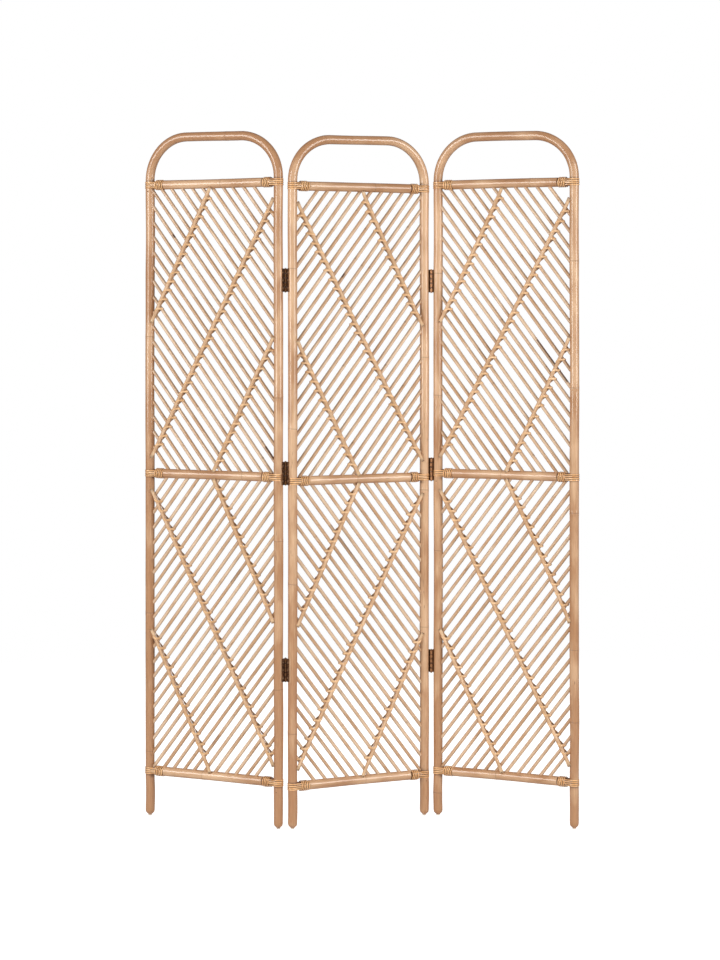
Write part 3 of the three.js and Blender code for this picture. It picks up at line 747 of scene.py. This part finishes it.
def build_sticks(name, part, lines, chance):
    """All the sticks of one section: rings of points along q = offset + slope * p + bow."""
    count = len(lines["low"])
    ring_at = chance.uniform(0.08, 0.92, (count, 1))
    even = np.tile(np.linspace(0, 1, 15), (count, 1))
    share = np.concatenate([even, np.clip(ring_at + STICK_RING_STEPS, 0, 1)], axis=1)
    # Seven of the even stations move to a dark stretch, so that its ends are sharp.
    for stick, start, end, _ in DARK_STRETCHES[name, part]:
        share[stick, 4:11] = np.clip([start - 0.006, *np.linspace(start, end, 5), end + 0.006], 0, 1)
    # Stations that meet are moved a hair apart, or the path would have no direction there.
    share = np.sort(share, axis=1) + np.arange(share.shape[1]) * 1e-6
    p = lines["low"][:, None] + share * (lines["high"] - lines["low"])[:, None]
    q = stick_q(lines, p)
    depth = STICK_BACK + (chance.normal(0, 0.3 * MM, (count, 1)) * np.sin(np.pi * share))
    paths = section_to_local(name, part, p, q, depth)
    ring = bell(share - ring_at, 0.004) * (chance.uniform(0, 1, (count, 1)) < 0.75)
    taper = 1 + chance.uniform(-0.05, 0.05, (count, 1)) * (share - 0.5)
    radius = STICK * (1 + chance.normal(0, 0.035, (count, 1))) * taper * (1 + 0.05 * ring)
    stain = 0.45 * ring
    for stick, start, end, depth_of in DARK_STRETCHES[name, part]:
        within = (share[stick] >= start - 1e-4) & (share[stick] <= end + 1e-4)
        stain[stick] = np.maximum(stain[stick], depth_of * within)
    # Each stick is painted a little darker at both ends: painted shade where it goes into a post or a
    # rail.
    ends = np.minimum(share, 1 - share)
    stain = np.clip(stain + 0.25 * np.exp(-ends / 0.012), 0, 1)
    local = sweep(paths, towards_front(paths), radius, radius, stick_section)
    # Darker along the upper side, and a long dark stretch is one dark line there.
    upper = np.clip((local[..., 2] - paths[:, :, None, 2]) / STICK * 1.6 + 0.1, 0, 1)
    upper_dark = chance.uniform(0.15, 0.6, (count, 1, 1)) * upper
    stain = np.clip(stain[..., None] * (0.25 + 0.75 * upper) + upper_dark * 0.6, 0, 1)
    cane_piece(
        f"{name}_{part}_sticks", name, local, stick_cane, "stick", [f"{name}_{part}_lattice"],
        grain=grain_of(paths, stick_section, STICK, chance.uniform(0, 9, (count, 3))),
        tone=chance.normal(0, 0.22, (count, 1, 1)), stain=stain, raw=0.0,
    )
    return count


# %% Battens, whittled at the ends to lap onto the posts and rails
batten_section = round_section(12)
THINNED = 18 * MM  # from a batten's end
# The pared end is pale, and its very tip is painted dark: painted shade where a batten laps onto a post
# or a rail.
PALE_END, DARK_END = 14 * MM, 1.2 * MM


def batten_plans(span):
    """Both ends (p, q) of the three battens' lines, before they are cut to length."""
    return np.array(
        [
            [[POST_X, 0], [0, span / 2]],
            [[POST_SPACING, BATTEN_INSET], [0, span - BATTEN_INSET]],
            [[POST_SPACING, span / 2], [POST_X, span]],
        ]
    )


def cut_battens(span):
    """The battens' ends where they lap onto a post's or a rail's front edge."""
    plans = batten_plans(span)
    start, run = plans[:, 0], plans[:, 1] - plans[:, 0]
    lap = POLE - BATTEN_LAP
    low = np.array([lap, lap])
    high = np.array([POST_SPACING - lap, span - lap])
    with np.errstate(divide="ignore"):
        to_low, to_high = (low - start) / run, (high - start) / run
    enter = np.minimum(to_low, to_high).max(axis=1)
    leave = np.maximum(to_low, to_high).min(axis=1)
    return start + run * enter[:, None], start + run * leave[:, None]


def batten_paths(span, chance, stations=64):
    """p and q along each batten, with a little bow, and the share of its length."""
    start, end = cut_battens(span)
    share = np.linspace(0, 1, stations)[None, :, None]
    line = start[:, None] + (end - start)[:, None] * share
    heading = unit(end - start)
    aside = np.stack([-heading[:, 1], heading[:, 0]], axis=1)[:, None]
    bow = chance.normal(0, 1.2 * MM, (3, 1, 1)) * np.sin(np.pi * share)
    return line + aside * bow, share[..., 0], np.linalg.norm(end - start, axis=1)


def build_battens(name, part, line, share, lengths, chance):
    """Three battens: round bars whose last stretch is flattened and rises onto what it laps."""
    from_end = np.minimum(share, 1 - share) * lengths[:, None]
    full = np.clip(from_end / THINNED, 0, 1) ** 0.8
    girth = BATTEN * (1 + chance.normal(0, 0.03, (3, 1)))
    thick = girth * (0.45 + 0.55 * full)
    depth = BATTEN_BACK - (1 - full) * (BATTEN - 1.9 * MM)
    paths = section_to_local(name, part, line[..., 0], line[..., 1], depth)
    wide = girth * (1.08 - 0.08 * full)
    local = sweep(paths, towards_front(paths), wide, thick, batten_section)
    cane_piece(
        f"{name}_{part}_battens", name, local, batten_cane, "stick", [f"{name}_{part}_lattice"],
        grain=grain_of(paths, batten_section, BATTEN, chance.uniform(0, 9, (3, 3))),
        tone=chance.normal(0.25, 0.12, (3, 1, 1)),
        stain=(0.6 * np.exp(-from_end / DARK_END))[..., None],
        raw=(0.45 * bell(from_end, PALE_END))[..., None],
    )


# %% [markdown]
# ## The lashings
# One long strip of peel ties a batten to all its sticks. At each crossing it climbs slantwise
# over the batten, hooks round the stick just beyond, and runs behind to the next, pulled
# narrow there. Twelve guide points describe one such stitch in the batten's own directions,
# and a smooth curve through all the stitches makes the strip. Separate little rings would be
# simpler, but the slanting run from stitch to stitch is what the eye sees on the real screen.

# %% Smooth curves, and the guide points of one stitch
def smooth_curve(keys, steps):
    """A Catmull-Rom curve: each key has its neighbours' chord for a slope, joined by cubics."""
    padded = np.concatenate([2 * keys[:1] - keys[1:2], keys, 2 * keys[-1:] - keys[-2:-1]])
    slope = (padded[2:] - padded[:-2]) / 2
    t = (np.arange(steps) / steps)[None, :, None]
    a, b = keys[:-1, None], keys[1:, None]
    u, v = slope[:-1, None], slope[1:, None]
    blend = 3 * t**2 - 2 * t**3
    curve = a * (1 - blend) + b * blend + u * (t - 2 * t**2 + t**3) + v * (t**3 - t**2)
    return np.concatenate([curve.reshape(-1, keys.shape[1]), keys[-1:]])


PEEL_HALF = 0.75 * MM  # of the peel's thickness
LASH_HALF_WIDTH = 2.8 * MM
CURVE_STEPS = 2  # points from each guide point to the next
SLACK = 0.35 * MM  # how far hand work strays from the guide points
STICK_CLEAR = 8 * MM  # no stitch nearer than this to a stick's end,
START_CLEAR, FINISH_CLEAR = 24 * MM, 34 * MM  # or to a batten's

# Each guide point: steps along the batten, to its side, along the stick and off the stick,
# then its height, all in mm, and the way that the peel faces there, as
# (batten, side, off the stick, front).
STITCH = np.array(
    [
        [20.0, -5.4, 0, 0, 4.0, 0.0, -1.0, 0.0, 0.3],
        [15.8, -4.4, 0, 0, 9.6, 0.0, -0.8, 0.0, 0.7],
        [10.0, -0.6, 0, 0, 13.3, 0.0, 0.0, 0.0, 1.0],
        [5.6, 3.4, 0, 0, 11.2, 0.0, 0.6, 0.0, 0.9],
        [0.0, 0.0, 8.4, 0.6, 5.6, 0.0, 0.2, 0.3, 1.0],
        [0.0, 0.0, 10.2, 4.3, 3.4, 0.0, 0.0, 1.0, 0.7],
        [0.0, 0.0, 10.6, 5.0, -1.0, 0.0, 0.0, 1.0, -0.2],
        [0.0, 0.0, 9.2, 1.6, -5.4, 0.0, 0.0, 0.3, -1.0],
        [0.0, 0.0, 6.2, -4.6, -3.6, 0.0, 0.0, -0.8, -0.7],
        [17.5, 0.6, 0, 0, -3.6, 0.0, 0.0, 0.0, -1.0],
        [27.0, -1.2, 0, 0, -5.3, 0.0, 0.0, 0.0, -1.0],
        [38.0, -3.8, 0, 0, -3.0, 0.0, -0.4, 0.0, -0.9],
    ]
)

HOOK_KEYS = [6, 7, 8]  # where the peel dips behind, painted dark as painted shade
RUN_KEYS = [9, 10, 11]  # where it is pulled narrow behind the next stick
print("one stitch:", len(STITCH), "guide points,", CURVE_STEPS * len(STITCH), "points of curve")


# %% Where the stitches go
def crossings(lines, line):
    """Where sticks pass a batten: the batten is close to straight, so two corrections do."""
    start, end = line[0], line[-1]
    pitch = (end - start)[1] / (end - start)[0]
    p = (start[1] - pitch * start[0] - lines["offset"]) / (lines["slope"] - pitch)
    for _ in range(2):
        q = stick_q(lines, p[:, None])[:, 0]
        p = (start[1] - pitch * start[0] - (q - lines["slope"] * p)) / (lines["slope"] - pitch)
    return np.stack([p, stick_q(lines, p[:, None])[:, 0]], axis=1)


def stitch_places(lines, own_line, length, heading, across):
    """Where a batten is tied, in order along it, and the way that each stick runs there."""
    start = own_line[0]
    spots = crossings(lines, own_line)
    along = (spots - start) @ heading
    meets = spots[:, 0] > lines["low"] + STICK_CLEAR
    meets = meets & (spots[:, 0] < lines["high"] - STICK_CLEAR)
    kept = np.flatnonzero(meets & (along > START_CLEAR) & (along < length - FINISH_CLEAR))
    kept = kept[np.argsort(along[kept])]
    stations = np.linspace(0, length, len(own_line))
    bow = np.interp(along[kept], stations, (own_line - start) @ across)
    stick = unit(np.stack([np.ones(len(kept)), lines["slope"][kept]], axis=1))
    return spots[kept] + bow[:, None] * across, stick


def guide_points(spots, stick, heading, aside, chance):
    """The guide points of all stitches as (p, q, depth), and the way that the peel faces."""
    off = np.stack([stick[:, 1], -stick[:, 0]], axis=1)[:, None]
    jitter = chance.normal(0, SLACK, (len(spots), len(STITCH), 4))
    step = STITCH[None, :, :4] * MM + jitter * (STITCH[None, :, :4] != 0)
    flat = spots[:, None] + step[..., :1] * heading + step[..., 1:2] * aside
    flat = flat + step[..., 2:3] * stick[:, None] + step[..., 3:4] * off
    facing = STITCH[:, 5, None] * heading + STITCH[:, 6, None] * aside
    facing = facing[None] + STITCH[None, :, 7, None] * off
    depth, front = (np.tile(-STITCH[:, column], (len(spots), 1))[..., None] for column in (4, 8))
    facing = unit(np.concatenate([facing, front], axis=-1))
    return np.concatenate([flat, depth * MM, facing], axis=-1).reshape(-1, 6)


# %% The strips themselves
NARROWED = 0.45  # of the width, where it is pulled


def build_lashings(name, part, lines, line, lengths, chance):
    """Three strips of peel, one for each batten, swept along their smoothed guide points."""
    shells, grains, stains = [], [], []
    for own_line, length in zip(line, lengths):
        heading = (own_line[-1] - own_line[0]) / length
        across = np.array([-heading[1], heading[0]])
        aside = across * np.sign(across[0])
        spots, stick = stitch_places(lines, own_line, length, heading, across)
        curve = smooth_curve(guide_points(spots, stick, heading, aside, chance), CURVE_STEPS)
        path = section_to_local(name, part, *curve[:, :3].T)
        out = section_to_local(name, part, *(curve[:, :3] + MM * curve[:, 3:]).T) - path
        key = np.arange(len(curve)) // CURVE_STEPS % len(STITCH)
        hooked, running = (np.isin(key, keys)[:, None] for keys in (HOOK_KEYS, RUN_KEYS))
        ripple = 1 + 0.08 * np.sin(np.arange(len(path)) * 0.7 + chance.uniform(0, 6))
        width = LASH_HALF_WIDTH * ripple * (1 - NARROWED * running[:, 0])
        grid = sweep(path[None], out[None], width[None], PEEL_HALF, PEEL_SECTION)
        shells.append((grid.reshape(-1, 3), grid_faces(*grid.shape[:3])))
        shift = chance.uniform(0, 9, 3)
        grain = grain_of(path[None], PEEL_SECTION, LASH_HALF_WIDTH, shift)
        grains.append(grain.reshape(-1, 3))
        # Painted shade: dark where the peel hooks behind a stick, and along the strip's edges except
        # where it runs behind.
        stains.append((0.35 * hooked + 0.3 * peel_edge * ~running).ravel())
    points, faces = joined(shells)
    new_piece(
        f"{name}_{part}_lashings", to_world(name, points), faces, lashing_cane, name, "peel",
        grain=np.concatenate(grains), tone=chance.normal(0, 0.1), stain=np.concatenate(stains),
        raw=0.0,
    )
    return len(points) // (len(PEEL_SECTION) * CURVE_STEPS * len(STITCH))


# %% Build the six sections
for number, (name, part) in enumerate(SECTIONS):
    chance = np.random.default_rng(300 + number)
    _, _, part_start, span = SECTIONS[name, part]
    lines = stick_lines(part_start, span, chance)
    sticks = build_sticks(name, part, lines, chance)
    line, share, lengths = batten_paths(span, chance)
    build_battens(name, part, line, share, lengths, chance)
    stitches = build_lashings(name, part, lines, line, lengths, chance)
    print(f"{name} {part}: {sticks} sticks, {stitches} stitches")

# %% [markdown]
# ## The bindings
# Each post and rail is bound by one long strip of peel: four strands pass round the post and
# lie flat on the rail, then the strip turns back over their ends in close turns round the
# rail. The strip is followed exactly: arcs round the post, a squared turn on the rail, a run
# along its back and a helix forward again.

# %% The route of a binding
STRANDS = 4
PITCH = 4.75 * MM  # from strand to strand
BIND_HALF_WIDTH = 1.85 * MM
BIND_HALF = 0.75 * MM  # of the peel's thickness
POST_LEVEL = POLE + 0.05 * MM + BIND_HALF
RAIL_LEVEL = RAIL_END + 0.1 * MM + BIND_HALF
TURN_LEVEL = RAIL_LEVEL + 2 * BIND_HALF + 0.05 * MM
STRAND_END = POLE + 7 * MM
TURNS = 4.6
TURN_STEPS = 26  # points in one turn
CLIMB = 8  # points over which the first and last turns rise and sink
ARC_POINTS, RUN_POINTS = 19, 6


def rail_front(height):
    """How far out the peel lies at a height on the rail's round front."""
    return np.sqrt(RAIL_LEVEL**2 - height**2)


def strand(height, outer):
    """One strand, from the rail's back round the post to the rail's front: an arc of
    POST_LEVEL round the post, then straight runs that sink to the rail's round surface."""
    arc = np.linspace(np.pi / 2, 3 * np.pi / 2, ARC_POINTS)
    out_post = np.stack([np.cos(arc), np.sin(arc), np.zeros(ARC_POINTS)], 1)
    round_post = POST_LEVEL * out_post + [0, 0, height]
    round_post[:, 0] = np.maximum(round_post[:, 0], -outer)
    x = np.linspace(STRAND_END + 3 * MM, 2.5 * MM, RUN_POINTS)
    share = np.clip((x - 3 * MM) / (STRAND_END - 3 * MM), 0, 1)
    share = share**2 * (3 - 2 * share)
    surface = rail_front(height)
    y = POST_LEVEL + (surface - POST_LEVEL) * share
    slope = [0 * x, 1 - share * (1 - surface / RAIL_LEVEL), share * height / RAIL_LEVEL]
    out_rail = unit(np.stack(slope, 1))
    run = np.stack([x, y, np.full(RUN_POINTS, height)], 1)
    path = np.concatenate([run, round_post, (run * [1, -1, 1])[::-1]])
    out = np.concatenate([out_rail, out_post, (out_rail * [1, -1, 1])[::-1]])
    return path, out


def binding_route(outer, chance):
    """The whole strip: strands to and fro, a run along the back, and the turns."""
    paths, outs = [], []
    for index in range(STRANDS):
        height = (index - (STRANDS - 1) / 2) * PITCH + chance.normal(0, 0.12 * MM)
        path, out = strand(height, outer)
        if index % 2 == 1:
            path, out = path[::-1], out[::-1]
        paths.append(path)
        outs.append(out)
    turn = np.arange(0, TURNS, 1 / TURN_STEPS)
    reach = BINDING_END - BIND_HALF_WIDTH
    x = reach - turn * (reach - STRAND_END - 0.6 * BIND_HALF_WIDTH) / TURNS
    x = x + 0.25 * MM * np.sin(turn * 2 * np.pi + chance.uniform(0, 6)) * np.sin(np.pi * turn / TURNS)
    angle = 2 * np.pi * (turn + 0.25)
    ring = np.stack([0 * x, np.cos(angle), np.sin(angle)], 1)
    level = TURN_LEVEL * np.ones_like(x)
    level[:CLIMB] = np.linspace(RAIL_LEVEL, TURN_LEVEL, CLIMB)
    level[-CLIMB:] = np.linspace(TURN_LEVEL, RAIL_LEVEL + BIND_HALF, CLIMB)
    turns = np.stack([x, 0 * x, 0 * x], 1) + ring * level[:, None]
    _, last_y, height = paths[-1][-1]
    run_x = STRAND_END + (reach - STRAND_END) * np.array([0.35, 0.7])
    run_y = np.sign(last_y) * rail_front(height)
    run = np.stack([run_x, np.full(2, run_y), np.full(2, height)], 1)
    paths += [run, turns]
    outs += [unit(run * [0, 1, 1]), ring]
    return np.concatenate(paths), np.concatenate(outs)


route, _ = binding_route(2 * POLE, np.random.default_rng(400))
strip_length = np.linalg.norm(np.diff(route, axis=0), axis=1).sum()
print(f"a binding is {strip_length:.2f} m of peel in {len(route)} stations")

# %% Build the eighteen bindings
count = 0
for name, panel in PANELS.items():
    for side_name, side in SIDES.items():
        for level, height in panel["rails"].items():
            chance = np.random.default_rng(400 + count)
            count += 1
            seated = level == "middle" and side in HINGED[name]
            outer = SEAT - 0.2 * MM - BIND_HALF if seated else 2 * POLE
            path, out = binding_route(outer, chance)
            local = sweep(path[None], out[None], BIND_HALF_WIDTH, BIND_HALF, PEEL_SECTION)
            facing = [1, 1, 1] if side < 0 else [-1, -1, 1]
            local = local * facing + [side * POST_X, 0, height]
            # The strip's edges are painted dark, darker still next to the post, and the whole strip a
            # little there: painted shade in the gaps between strands and in the corner where rail and
            # post meet.
            corner = bell(path[:, 0] - POLE - 2 * MM, 5 * MM)
            cane_piece(
                f"{name}_{level}_{side_name}_winding", name, local, peel_cane, "peel",
                [f"{name}_{level}_{side_name}_binding"],
                grain=grain_of(path[None], PEEL_SECTION, BIND_HALF_WIDTH, chance.uniform(0, 9, 3)),
                tone=chance.normal(0.05, 0.12),
                stain=((0.6 + 0.3 * corner)[:, None] * peel_edge + 0.1 * corner[:, None])[None],
                raw=0.0,
            )
print(count, "bindings")

# %% [markdown]
# ## Hinges
# Three butt hinges join each pair of panels. A leaf is a thin plate with eased corners and
# rolled knuckles, and three countersunk screws hold it. Plates are lofted from one rounded
# outline at four depths, and round parts are profiles turned about an axis, so both stay
# light and exact. The same plan is turned half round for the screen's other joint.

# %% Plates and turned parts
def rounded_outline(low, high, radius, steps=5):
    """A rectangle with quarter-circle corners, anticlockwise, as (across, up) points."""
    middle, reach = (np.array(low) + high) / 2, (np.array(high) - low) / 2
    points = []
    for quarter, corner in enumerate([(1, 1), (-1, 1), (-1, -1), (1, -1)]):
        angle = np.pi / 2 * (quarter + np.linspace(0, 1, steps))
        centre = middle + np.array(corner) * (reach - radius)
        points.append(centre + radius * np.stack([np.cos(angle), np.sin(angle)], 1))
    return np.concatenate(points)


def plate(low, high, face, thickness, corner, ease):
    """A plate that faces +X: its outline at four depths, the outer two drawn in by the ease."""
    outline = rounded_outline(low, high, corner)
    middle, reach = (np.array(low) + high) / 2, (np.array(high) - low) / 2
    drawn = middle + (outline - middle) * (1 - ease / reach)
    rings = []
    for x, edge in ((0, drawn), (ease, outline), (thickness - ease, outline), (thickness, drawn)):
        rings.append(np.stack([np.full(len(edge), face + x), edge[:, 0], edge[:, 1]], 1))
    grid = np.array(rings)[None]
    return grid.reshape(-1, 3), grid_faces(1, 4, len(outline))


def turned(profile, sides=24, axis=2, centre=(0, 0, 0)):
    """A profile of (radius, height) pairs turned about an axis through the centre."""
    profile = np.array(profile, dtype=float)
    angle = np.arange(sides) * 2 * np.pi / sides
    ring = np.stack([np.cos(angle), np.sin(angle)], 1)
    grid = np.empty((1, len(profile), sides, 3))
    first, second = (axis + 1) % 3, (axis + 2) % 3
    grid[..., first] = profile[:, :1] * ring[:, 0]
    grid[..., second] = profile[:, :1] * ring[:, 1]
    grid[..., axis] = profile[:, 1:]
    return (grid + np.array(centre)).reshape(-1, 3), grid_faces(1, len(profile), sides)


# %% Leaves, pins and screws
LEAF_THICK = 1.5 * MM
LEAF_OFFSET = 1 * MM  # of a leaf's inner face, from the hinge's own middle plane
LEAF_REACH = HINGE_OUT + 5 * MM
KNUCKLE = 3.1 * MM  # radius
KNUCKLE_TALL = 12 * MM
PLAY = 0.15 * MM  # at each end of a knuckle
BORE = 1.4 * MM
EASE = 0.25 * MM
# Profiles as (radius, height): a countersunk head with a round recess, and half a pin's end.
SCREW_HEAD = np.array(
    [[2.5, -0.45], [2.5, 0], [2.2, 0.154], [1.4, 0.22], [0.75, 0.198], [0.6, -0.225], [0.01, -0.27]]
)
PIN_DOME = np.array([[2.5, 0], [2.5, 0.5], [2.1, 1.1], [1.2, 1.5], [0.02, 1.62]])


def knuckle_ends(index):
    """The lower and upper end of a knuckle, counted from the bottom."""
    low = -HINGE_HALF + index * KNUCKLE_TALL + PLAY
    return low, low + KNUCKLE_TALL - 2 * PLAY


def knuckle(index):
    """One rolled knuckle: a short cylinder with eased rims."""
    low, high = knuckle_ends(index)
    rim = KNUCKLE - 2 * EASE
    rolled = [[KNUCKLE, z] for z in np.linspace(low + EASE, high - EASE, 7)]
    return turned([[BORE, low], [rim, low], *rolled, [rim, high], [BORE, high]])


def leaf_shells(side, own):
    """A leaf about the hinge axis, its plate towards -Y and facing along X on the given side."""
    face = LEAF_OFFSET if side > 0 else -LEAF_OFFSET - LEAF_THICK
    low, high = (-LEAF_REACH, -HINGE_HALF), (-KNUCKLE - FIT, HINGE_HALF)
    shells = [plate(low, high, face, LEAF_THICK, 2 * MM, EASE)]
    for index in own:
        low, high = knuckle_ends(index)
        low, high = (-KNUCKLE - 1 * MM, low), (0, high)
        shells.append(plate(low, high, face, LEAF_THICK, FIT, EASE / 2))
        shells.append(knuckle(index))
    return shells


def screw_shell(y, z, face, outward):
    """A screw head with its rim flush in the leaf, facing along X."""
    profile = SCREW_HEAD * MM * [1, outward]
    return turned(profile[::outward], 16, axis=0, centre=(face, y, z))


def pin_shell():
    """The pin: a shank with a domed button at each end."""
    end = HINGE_HALF + 0.2 * MM
    top = PIN_DOME * MM + [0, end]
    shank = [[1.5 * MM, -end], [1.5 * MM, end]]
    return turned([*(top[::-1] * [1, -1]), *shank, *top])


def wear_of(points):
    """Rubbed metal: brightest on the knuckles and pin heads, and at the plate's outer edges."""
    x, y, z = points.T
    rolled = bell(np.hypot(x, y) - KNUCKLE, 0.5 * MM)
    middle = np.abs(np.sin(np.pi * (z + HINGE_HALF) / KNUCKLE_TALL)) ** 0.6
    rim = bell(np.abs(y + LEAF_REACH / 2) - LEAF_REACH / 2, 0.8 * MM)
    return np.clip(0.4 * rolled * middle - 0.2 * rolled * (1 - middle) + 0.25 * rim, 0, 1)


print(f"a leaf reaches {LEAF_REACH:.4f} m from the axis, a knuckle is {KNUCKLE_TALL:.3f} m tall")

# %% Build the six hinges
SCREWS_UP = (-20 * MM, 0.0, 20 * MM)
SCREW_OUT = -(KNUCKLE + LEAF_REACH) / 2 - 0.6 * MM
LEAVES = (("outer_leaf", -1, (0, 2, 4)), ("middle_leaf", 1, (1, 3)))
joint_places = {joint["child"]: np.array(joint["pos_m"]) for joint in frame["joints"]}

for outer_panel, half_turn in (("left_panel", 1), ("right_panel", -1)):
    for level, height in HINGE_HEIGHTS.items():
        hinge = f"{outer_panel.split('_')[0]}_{level}_hinge"
        spot = [*joint_places[outer_panel][:2], height]
        for leaf, side, own in LEAVES:
            carrier = outer_panel if leaf == "outer_leaf" else "middle_panel"
            axes = PANELS[carrier]["axes"] * [[half_turn], [half_turn], [1]]
            screws = [screw_shell(SCREW_OUT, up, side * LEAF_OFFSET, -side) for up in SCREWS_UP]
            for suffix, shells, finish, stands_for in (
                ("plate", leaf_shells(side, own), hinge_bronze, [f"{hinge}_{leaf}"]),
                ("screws", screws, screw_bronze, []),
            ):
                points, faces = joined(shells)
                new_piece(
                    f"{hinge}_{leaf}_{suffix}", points @ axes + spot, faces, finish, carrier, "hinge",
                    stands_for, sharp=30, wear=0.45 if suffix == "screws" else wear_of(points),
                )
        points, faces = pin_shell()
        new_piece(
            f"{hinge}_round_pin", points + spot, faces, screw_bronze, "middle_panel", "pin",
            [f"{hinge}_pin"], sharp=40, wear=0.3,
        )
print("six hinges, the last at", [round(float(v), 3) for v in spot])

# %% [markdown]
# ## Glides, brads and nails
# A small domed glide is pressed under every leg. Each batten is held at both ends by a brad,
# and a few nails through the posts show too, all as dark dots. Their heads are all alike, so
# one turned dome is copied to every place as part of one mesh for each section.

# %% Six glides
GLIDE = np.array(
    [[0.02, 0], [2.2, 0], [3.6, 0.5], [4.5, 1.4], [4.9, 2.5], [4.9, 3.3], [4.5, 3.9], [0.02, 3.9]]
)
points, faces = turned(GLIDE * MM, 28)
for name in PANELS:
    for side_name, side in SIDES.items():
        new_piece(
            f"{name}_{side_name}_domed_glide", to_world(name, points + [side * POST_X, 0, 0]), faces,
            glide_plastic, name, "glide", [f"{name}_{side_name}_glide"], sharp=40,
        )
print("glides:", len(PANELS) * len(SIDES), "of", len(points), "points")

# %% Brads at the battens' ends, and nails in the posts
NAIL_HEAD = np.array([[1.4, 0.6], [1.4, 0.1], [1.0, -0.3], [0.02, -0.4]]) * MM
BRAD_FROM_END = 2 * MM
# Panel, side and height of the nails that show in the posts.
POST_NAILS = [
    ("left_panel", 1, 96 * MM),
    ("left_panel", -1, 1648 * MM),
    ("middle_panel", 1, 93 * MM),
    ("right_panel", -1, 884 * MM),
]


def nail_heads(places):
    """Domed heads that face the front (-Y), one at each (x, y, z)."""
    return joined([turned(NAIL_HEAD, 12, axis=1, centre=place) for place in places])


for name, part in SECTIONS:
    start, end = cut_battens(SECTIONS[name, part][3])
    inward = unit(end - start) * BRAD_FROM_END
    ends = np.concatenate([start + inward, end - inward])
    places = section_to_local(name, part, ends[:, 0], ends[:, 1], BATTEN_BACK - BATTEN + 0.2 * MM)
    if part == "lower":
        own = [(side, height) for panel, side, height in POST_NAILS if panel == name]
        places = np.concatenate([places, [(side * POST_X, -POLE, height) for side, height in own]])
    points, faces = nail_heads(places)
    points = to_world(name, points)
    new_piece(f"{name}_{part}_brads", points, faces, nail_steel, name, "stick", sharp=60, wear=0.1)
    print(f"{name} {part}: {len(places)} heads")

# %% [markdown]
# ## Floor, light and camera
# Two tall soft lights stand to the left and right in front, and give each pole its pair of
# upright highlights. Two weaker fills lift the front and the back; gloss doesn't mirror them,
# or every pole would get a third streak. The camera sees white all round, which lights the
# screen only dimly, and the floor fades out into it.

# %% Floor
def fading_floor():
    """A pale floor whose rim is clear: opacity falls with distance from the middle."""
    material, tree, shader = new_material("Pale floor")
    place = node(tree, "ShaderNodeTexCoord"), "Object"
    far = node(tree, "ShaderNodeVectorMath", operation="LENGTH", in0=place), "Value"
    seen = node(tree, "ShaderNodeLightPath"), "Is Camera Ray"
    fill(tree, shader, Alpha=ranged(tree, far, 1.2, 3.2, 1.0, 0.0))
    fill(tree, shader, Emission_Strength=math_node(tree, "MULTIPLY", seen, 0.8))
    fill(tree, shader, Emission_Color=(1, 1, 1, 1), Base_Color=(0.8, 0.8, 0.8, 1), Roughness=0.9)
    return material


FLOOR_REACH = 3.5
corners = [(x * FLOOR_REACH, y * FLOOR_REACH, 0) for x, y in ((-1, -1), (1, -1), (1, 1), (-1, 1))]
floor_mesh = bpy.data.meshes.new("floor")
floor_mesh.from_pydata(corners, [], [(0, 1, 2, 3)])
floor_mesh.materials.append(fading_floor())
floor = bpy.data.objects.new("floor", floor_mesh)
bpy.context.scene.collection.objects.link(floor)
print("floor:", 2 * FLOOR_REACH, "m wide")

# %% World and lights
bpy.context.scene.view_settings.view_transform = "Standard"
world = bpy.data.worlds.new("Studio")
bpy.context.scene.world = world
world.use_nodes = True
sky = world.node_tree
dim = sky.nodes["Background"]
fill(sky, dim, Color=(1.0, 0.985, 0.97, 1), Strength=0.24)
white = node(sky, "ShaderNodeBackground", Color=(1, 1, 1, 1), Strength=1.0)
to_camera = node(sky, "ShaderNodeLightPath"), "Is Camera Ray"
either = node(sky, "ShaderNodeMixShader", in0=to_camera, in1=dim, in2=white)
fill(sky, sky.nodes["World Output"], in0=either)

UPPER, LOWER = (0, 0, 1.3), (0, 0, 1.0)  # what the lights are aimed at


def soft_light(name, place, target, size, power, mirrored=True):
    """A rectangular area light that points at the target; a fill isn't mirrored in gloss."""
    data = bpy.data.lights.new(name, "AREA")
    data.shape = "RECTANGLE"
    data.size, data.size_y = size
    data.energy = power
    data.color = (1, 0.98, 0.95)
    light = bpy.data.objects.new(name, data)
    bpy.context.scene.collection.objects.link(light)
    light.location = place
    light.visible_glossy = mirrored
    aim = np.array(target) - np.array(place)
    light.rotation_euler = Vector(aim).to_track_quat("-Z", "Y").to_euler()


soft_light("Left softbox", (-3.95, -2.87, 2.1), UPPER, (2.0, 2.6), 142)
soft_light("Right softbox", (3.9, -2.87, 2.1), UPPER, (2.0, 2.6), 132)
soft_light("Front fill", (0.0, -5.4, 1.9), UPPER, (3.4, 1.4), 90, mirrored=False)
soft_light("Back fill", (0, 3.6, 1.2), LOWER, (3.4, 1.6), 36, mirrored=False)

# %% Camera, level and as fitted to the photograph
WIDE, TALL = 720, 960  # of the picture, in pixels
FOCAL_PIXELS = 2459
STRAIGHT_AHEAD = (350.3, 312)  # the pixel that the camera looks straight at
SENSOR = 36
camera_data = bpy.data.cameras.new("camera")
camera_data.sensor_fit = "AUTO"
camera_data.sensor_width = SENSOR
camera_data.lens = FOCAL_PIXELS / TALL * SENSOR
camera_data.shift_x = (WIDE / 2 - STRAIGHT_AHEAD[0]) / TALL
camera_data.shift_y = (STRAIGHT_AHEAD[1] - TALL / 2) / TALL
camera = bpy.data.objects.new("camera", camera_data)
camera.location = (-0.0235, -6.4116, 1.3302)
camera.rotation_euler = (np.pi / 2, 0, 0)
bpy.context.scene.collection.objects.link(camera)
bpy.context.scene.camera = camera
print(f"camera: a lens of {camera_data.lens:.1f} mm, {-camera.location.y:.2f} m in front")
